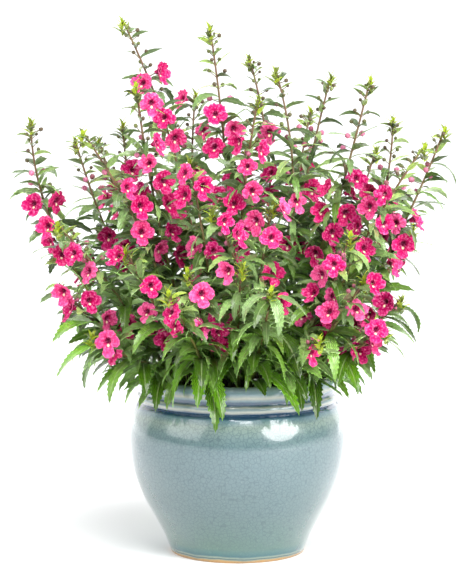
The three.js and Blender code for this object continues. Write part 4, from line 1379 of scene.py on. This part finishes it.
# %% Bloom templates
THROAT_SHARE, THROAT_RADIUS, THROAT_FLOOR, THROAT_EDGE = 0.3, 2.8, -5.5, -1.9


def round_axis(turn, radius, depth):
    return (radius * math.sin(turn * DEG), radius * math.cos(turn * DEG), depth)


def make_bloom_template(name, seed, cup, notch):
    bm = bmesh.new()
    uv_layer = bm.loops.layers.uv.new("face")
    run_layer = bm.verts.layers.float.new("run")
    bm.verts.layers.float.new("age")
    around = len(BLOOM_LOBES) * LOBE_STEPS

    def limb(u, s):
        turn = 360 * u
        reach, forward = lobe_rim(turn, seed, notch)
        if s < THROAT_SHARE:
            radius = THROAT_RADIUS * (s / THROAT_SHARE) ** 0.6
            return round_axis(turn, radius, THROAT_FLOOR + 3.6 * (s / THROAT_SHARE) ** 1.6)
        opened = (s - THROAT_SHARE) / (1 - THROAT_SHARE)
        radius = THROAT_RADIUS + (reach - THROAT_RADIUS) * opened
        depth = THROAT_EDGE * (1 - opened ** 0.7) + forward * opened ** 1.5 + cup * opened ** 2
        crinkle = math.sin(13 * turn * DEG + 2 * seed) + math.sin(21 * turn * DEG + 7 * opened + seed)
        return round_axis(turn, radius, depth + WAVE * crinkle * opened)

    def tube(u, s):
        return round_axis(360 * u, 1.6 + 2.4 * s ** 1.4, -7.6 + 5.2 * s)
    verts = grow_sheet(bm, around, RADIAL_STEPS, limb)
    for n, v in enumerate(verts):
        v[run_layer] = (n // (around + 1)) / RADIAL_STEPS
    bmesh.ops.remove_doubles(bm, verts=verts, dist=WELD)
    bmesh.ops.recalc_face_normals(bm, faces=bm.faces)
    bmesh.ops.solidify(bm, geom=bm.faces[:], thickness=SHEET * MM)
    outside = grow_sheet(bm, 10, 2, tube)
    for v in outside:
        v[run_layer] = 0.5
    bmesh.ops.remove_doubles(bm, verts=outside, dist=WELD)
    for loop in [loop for f in bm.faces for loop in f.loops]:
        loop[uv_layer].uv = [0.5 + loop.vert.co[axis] / MM / FACE_WIDTH for axis in (0, 1)]
    mesh = bpy.data.meshes.new(name)
    bm.to_mesh(mesh)
    bm.free()
    return mesh


bloom_templates = [
    make_bloom_template("bloom_open", 0.4, 0.0, 8.8),
    make_bloom_template("bloom_reflexed", 2.1, -2.4, 7.4),
    make_bloom_template("bloom_cupped", 4.0, 3.0, 8.4),
    make_bloom_template("bloom_ruffled", 5.3, 0.8, 7.2),
]
print("faces of a bloom:", len(bloom_templates[0].polygons))

# %% [markdown]
# ## Growth between the CAD pieces
#
# The CAD model holds every bloom and large leaf. The real plant also carries hundreds of small things: a
# narrow leaf and a bud at each joint of the upper stem, a tuft of new leaves at each tip, a small leaf
# under each bloom, and pairs of leaves down the shaded stem. A small leaf is only kept where it passes
# clear of the blooms, which the same room of balls can tell.

# %% Small leaves
def smooth_shift(stem, t):
    return bezier(stem["curve"], t) - stem_point(stem, t)


def add_thin_balls(leaf):
    count = math.ceil(leaf["length"] / 8)
    for k in range(1, count + 1):
        middle = leaf_axes(leaf, k / count)[0]
        leaf["balls"].append(ball(middle, 0.8, leaf["owner"], k / count * leaf["length"] < 10))
    return leaf


def find_thin_leaf(stem, draw, t, bearing, length, rise, width=0.12, bend=50):
    facts = {"length": length, "rise": rise, "half_width": length * drawn(draw, width, 0.04)}
    facts["bend"] = drawn(draw, bend, 70) * DEG
    facts["roll"] = (next(draw) - 0.5) * 100 * DEG
    return find_place(stem, t, bearing, add_thin_balls, facts)


print("balls before the small leaves:", room["count"])

# %% [markdown]
# ### Growth at a tip
#
# Under each tip sit pairs of narrow leaves, each pair turned against the last, and in the corner of each
# leaf a bud on a stalk. Going down the stem, leaves, buds and stalks get larger, and the lowest buds are
# about to open.

# %% Growth at a tip
FIRST_PAIR, PAIR_TURN, PINK_REACH, PINK_SHARE = 11.0, 95, 20, 0.7


def add_small_bud(stem, draw, down, bearing):
    share = down / LONGEST_BUD_RUN
    radius = 1.4 + 1.0 * min(1, share * 1.5) + 0.3 * next(draw)
    rise = (40 - 30 * share + 30 * next(draw)) * DEG
    place = 1 - down / stem["length"] - 1.5 / stem["length"]
    bud = {"rise": rise, "length": 6 + 6 * min(1, share * 1.6), "root": stem_point(stem, place), "t": place}
    bud.update(owner=stem["owner"], bearing=bearing)
    pink = down > bud_run(stem) - PINK_REACH and next(draw) < PINK_SHARE
    tone = drawn(draw, 0.75, 0.25) if pink else drawn(draw, 0.1, 0.45)
    stem["small_buds"].append((bud, radius * (1.3 if pink else 1), tone))


def add_tip_growth(stem, draw):
    first, down, k = next(draw) * 2 * math.pi, FIRST_PAIR, 0
    while down < bud_run(stem) + 6:
        share = down / LONGEST_BUD_RUN
        bearing = first + k * PAIR_TURN * DEG
        rise = (38 - 30 * share) * DEG
        t = 1 - down / stem["length"]
        for side in (0, math.pi):
            size = 10 + 25 * share + 5 * next(draw)
            leaf = find_thin_leaf(stem, draw, t, bearing + side, size, rise + 0.3 * next(draw), 0.1, 12)
            stem["thin"].append((leaf, 0.52 + 0.45 * math.exp(-down / 14)))
            add_small_bud(stem, draw, down, bearing + side + 0.4)
        down += 8 + 7 * share
        k += 1


print("first pair below a tip:", FIRST_PAIR, "mm")

# %% [markdown]
# ### Growth down the stem
#
# Below the spike, each bloom has a small leaf under it, and the shaded stem carries leaves at close joints,
# the largest lowest. They fill the middle of the plant, which would look hollow with the large leaves
# alone.

# %% Growth down the stem
GROWTH_SEED, LOWEST_LEAF, LEAF_JOINTS = 86028121, 0.16, 9


def add_growth(stem):
    draw = stem_draws(stem, GROWTH_SEED)
    length = stem["length"]
    stem["thin"], stem["small_buds"] = [], []
    add_tip_growth(stem, draw)
    for bloom in stem["blooms"]:
        size = drawn(draw, 24, 14)
        leaf = find_thin_leaf(stem, draw, bloom["t"] - 0.01, bloom["bearing"] - 0.5, size, 20 * DEG, 0.12, 30)
        stem["thin"].append((leaf, 0.5))
    up = LOWEST_LEAF * length
    while up < length - bud_run(stem):
        share = up / length
        turn = next(draw) * 2 * math.pi
        for side in (0, math.pi) if share < 0.3 else (0, 0.5 * math.pi, math.pi):
            size = (62 - 36 * share) * drawn(draw, 0.7, 0.5)
            rise = drawn(draw, -5, 75) * DEG
            leaf = find_thin_leaf(stem, draw, share, turn + side, size, rise, 0.085, 30)
            stem["thin"].append((leaf, 0.15 + 0.45 * share))
        up += LEAF_JOINTS
    stem["thin"] = [(leaf, tone) for leaf, tone in stem["thin"] if leaf]


for bloom in [bloom for stem in tall_stems for bloom in stem["blooms"]]:
    facing, across, top, calyx, centre = bloom_frame(bloom)
    settle({"balls": [ball(centre + facing * ahead, 5, -1) for ahead in (8, 16)]})
for stem in tall_stems:
    add_growth(stem)
print("thin leaves:", sum(len(stem["thin"]) for stem in tall_stems))
print("small buds:", sum(len(stem["small_buds"]) for stem in tall_stems))

# %% [markdown]
# ## Leaves and tufts of a stem
#
# One piece stands for the green part of each CAD stem. The CAD stem runs straight between a few rings and
# the one here is smooth, so everything that grows on it is moved by the small step between the two. The
# leaves are sheets first and get their thickness in one go. A tuft is a dozen small leaves that open like a
# rosette.

# %% Leaves and tufts of a stem
GREENS_SEED, LARGE_LEAF, WIDE_LEAF, TUFT_LEAVES = 67867967, 42, 30, 12


def moved(stem, piece):
    return {**piece, "root": piece["root"] + smooth_shift(stem, piece["t"])}


def grow_leaves(bm, stem, draw):
    for leaf in stem["leaves"]:
        large = leaf["length"] > LARGE_LEAF
        tone = 0.0 if leaf.get("glossy") else 0.1 + 0.5 * max(0, leaf["t"] - 0.25)
        grow_leaf(bm, moved(stem, leaf), 4 if large else 2, 24 if large else 12, tone, next(draw))
    for leaf, tone in stem.get("thin", []):
        wide = leaf["length"] > WIDE_LEAF
        grow_leaf(bm, moved(stem, leaf), 2, 10 if wide else 6, tone, next(draw), 0.1 if wide else 0.0)


def grow_tuft(bm, tip, rim, draw):
    for k in range(TUFT_LEAVES):
        size = 8 + 0.35 * k + 4 * next(draw) if not rim else drawn(draw, 14, 16)
        facts = {"length": size, "half_width": size * 0.17, "rise": (86 - 4.5 * k + 10 * next(draw)) * DEG}
        facts.update(bend=50 * DEG, roll=0, bearing=k * GOLDEN_TURN, root=tip - UP * (3 + 1.2 * k))
        grow_leaf(bm, facts, 2, 5, 1.0 if not rim else 0.35, next(draw), 0.0)


print("leaves in a tuft:", TUFT_LEAVES)

# %% [markdown]
# ## Stem, stalks and calyxes
#
# The stem itself is a tube along its smooth curve, from its foot in the soil to a point in the tuft. Every
# bloom hangs on a thinner tube with a small cup, the calyx, at its end, and every bud on a thinner one
# still.

# %% Stem, stalks and calyxes
STALK, THIN_STALK, CALYX = [0.7, 0.6, 0.7], [0.5, 0.4, 0.4], [0, 1.6, 2.3, 0.1]


def grow_stem(bm, stem, rim):
    steps = max(8, round(stem["length"] / 14))
    run = [k / steps for k in range(steps + 1)]
    foot = stem["curve"][0] - stem["heading"] * STEM_DEPTH
    line = [foot - UP * 0.1, foot] + [bezier(stem["curve"], t) for t in run] + [stem["curve"][3] + UP * 0.5]
    radii = [0, STEM_RADIUS] + [(0.95 - 0.2 * t) * stem_radius(t) for t in run] + [0]
    tones = [0.1] * len(line) if rim else [0, 0] + [0.05 + 0.85 * t for t in run] + [1]
    grow_tube(bm, line, radii, 7, tones)


def grow_calyx(bm, bloom):
    facing, across, top, calyx, centre = bloom_frame(bloom)
    root = bloom["root"]
    grow_tube(bm, [root, root + (calyx - root) * 0.5 + UP * 0.8, calyx], STALK, 5, [0.5])
    cup = [calyx - facing * 1.4, calyx - facing * 0.8, calyx, calyx + facing * 0.3]
    grow_tube(bm, cup, CALYX, 6, [0.25])


def grow_bud(bm, bud, radii, sides, size, length, tone):
    root, end = bud["root"], bud_point(bud, 1)
    grow_tube(bm, [root, bud_point(bud, 0.5) - UP * 0.3, end], radii, sides, [0.6])
    grow_ball(bm, end, size, length, end - root, tone)


print("widest part of a calyx:", 2 * max(CALYX), "mm")

# %% [markdown]
# ### One piece of greens for each stem
#
# The order is leaves and tuft, then their thickness, then the tubes and balls, which are solid already.

# %% Grow the greens
def grow_greens(stem):
    bm = start_greens()
    draw = stem_draws(stem, GREENS_SEED)
    rim = stem["owner"] >= len(tall_stems)
    grow_leaves(bm, stem, draw)
    grow_tuft(bm, stem["curve"][3], rim, draw)
    bmesh.ops.solidify(bm, geom=bm.faces[:], thickness=SHEET * MM)
    grow_stem(bm, stem, rim)
    for bloom in stem["blooms"]:
        grow_calyx(bm, moved(stem, bloom))
    for bud in stem["buds"]:
        grow_bud(bm, moved(stem, bud), [0.6, 0.5, 0.5], 5, BUD_RADIUS, 1.15, 0.5)
    for bud, size, tone in stem.get("small_buds", []):
        grow_bud(bm, moved(stem, bud), THIN_STALK, 4, size, 1.1, tone)
    bmesh.ops.recalc_face_normals(bm, faces=bm.faces)
    return bm


faces, finishes = 0, [leaf_finish, stem_finish, bud_finish]
for name, stem in zip(names, stems):
    piece = finish_piece(f"{name}_greens", grow_greens(stem), finishes, name)
    faces += len(piece.data.polygons)
print("faces of the greens:", faces)

# %% [markdown]
# ## Blooms
#
# The blooms of a stem are one piece, in the petal slot. Each copy of the template is turned to its place by
# one matrix made of the bloom's own three directions, with a small tilt of its own, and gets an age, which
# shifts its pink.

# %% Blooms
PETALS_SEED = 122949823


def grow_blooms(stem):
    bm = bmesh.new()
    draw = stem_draws(stem, PETALS_SEED)
    for bloom in stem["blooms"]:
        facing, across, top, calyx, centre = bloom_frame(moved(stem, bloom))
        start = len(bm.verts)
        bm.from_mesh(bloom_templates[int(len(bloom_templates) * next(draw))])
        bm.verts.ensure_lookup_table()
        fresh = bm.verts[start:]
        turn = Matrix([Vector(across), Vector(top), Vector(facing)]).transposed().to_4x4()
        for axis, most in (("X", 44), ("Y", 56), ("Z", 26)):
            turn = turn @ Matrix.Rotation((next(draw) - 0.5) * most * DEG, 4, axis)
        grown = Matrix.Diagonal((bloom["size"], bloom["size"], 1, 1))
        bmesh.ops.transform(bm, matrix=Matrix.Translation(Vector(centre) * MM) @ turn @ grown, verts=fresh)
        age_layer, age = bm.verts.layers.float["age"], next(draw)
        for v in fresh:
            v[age_layer] = age
    return bm


faces = 0
for name, stem in zip(names, stems):
    if stem["blooms"]:
        piece = finish_piece(f"{name}_blooms", grow_blooms(stem), [petal_finish], name)
        faces += len(piece.data.polygons)
print("faces of the blooms:", faces)
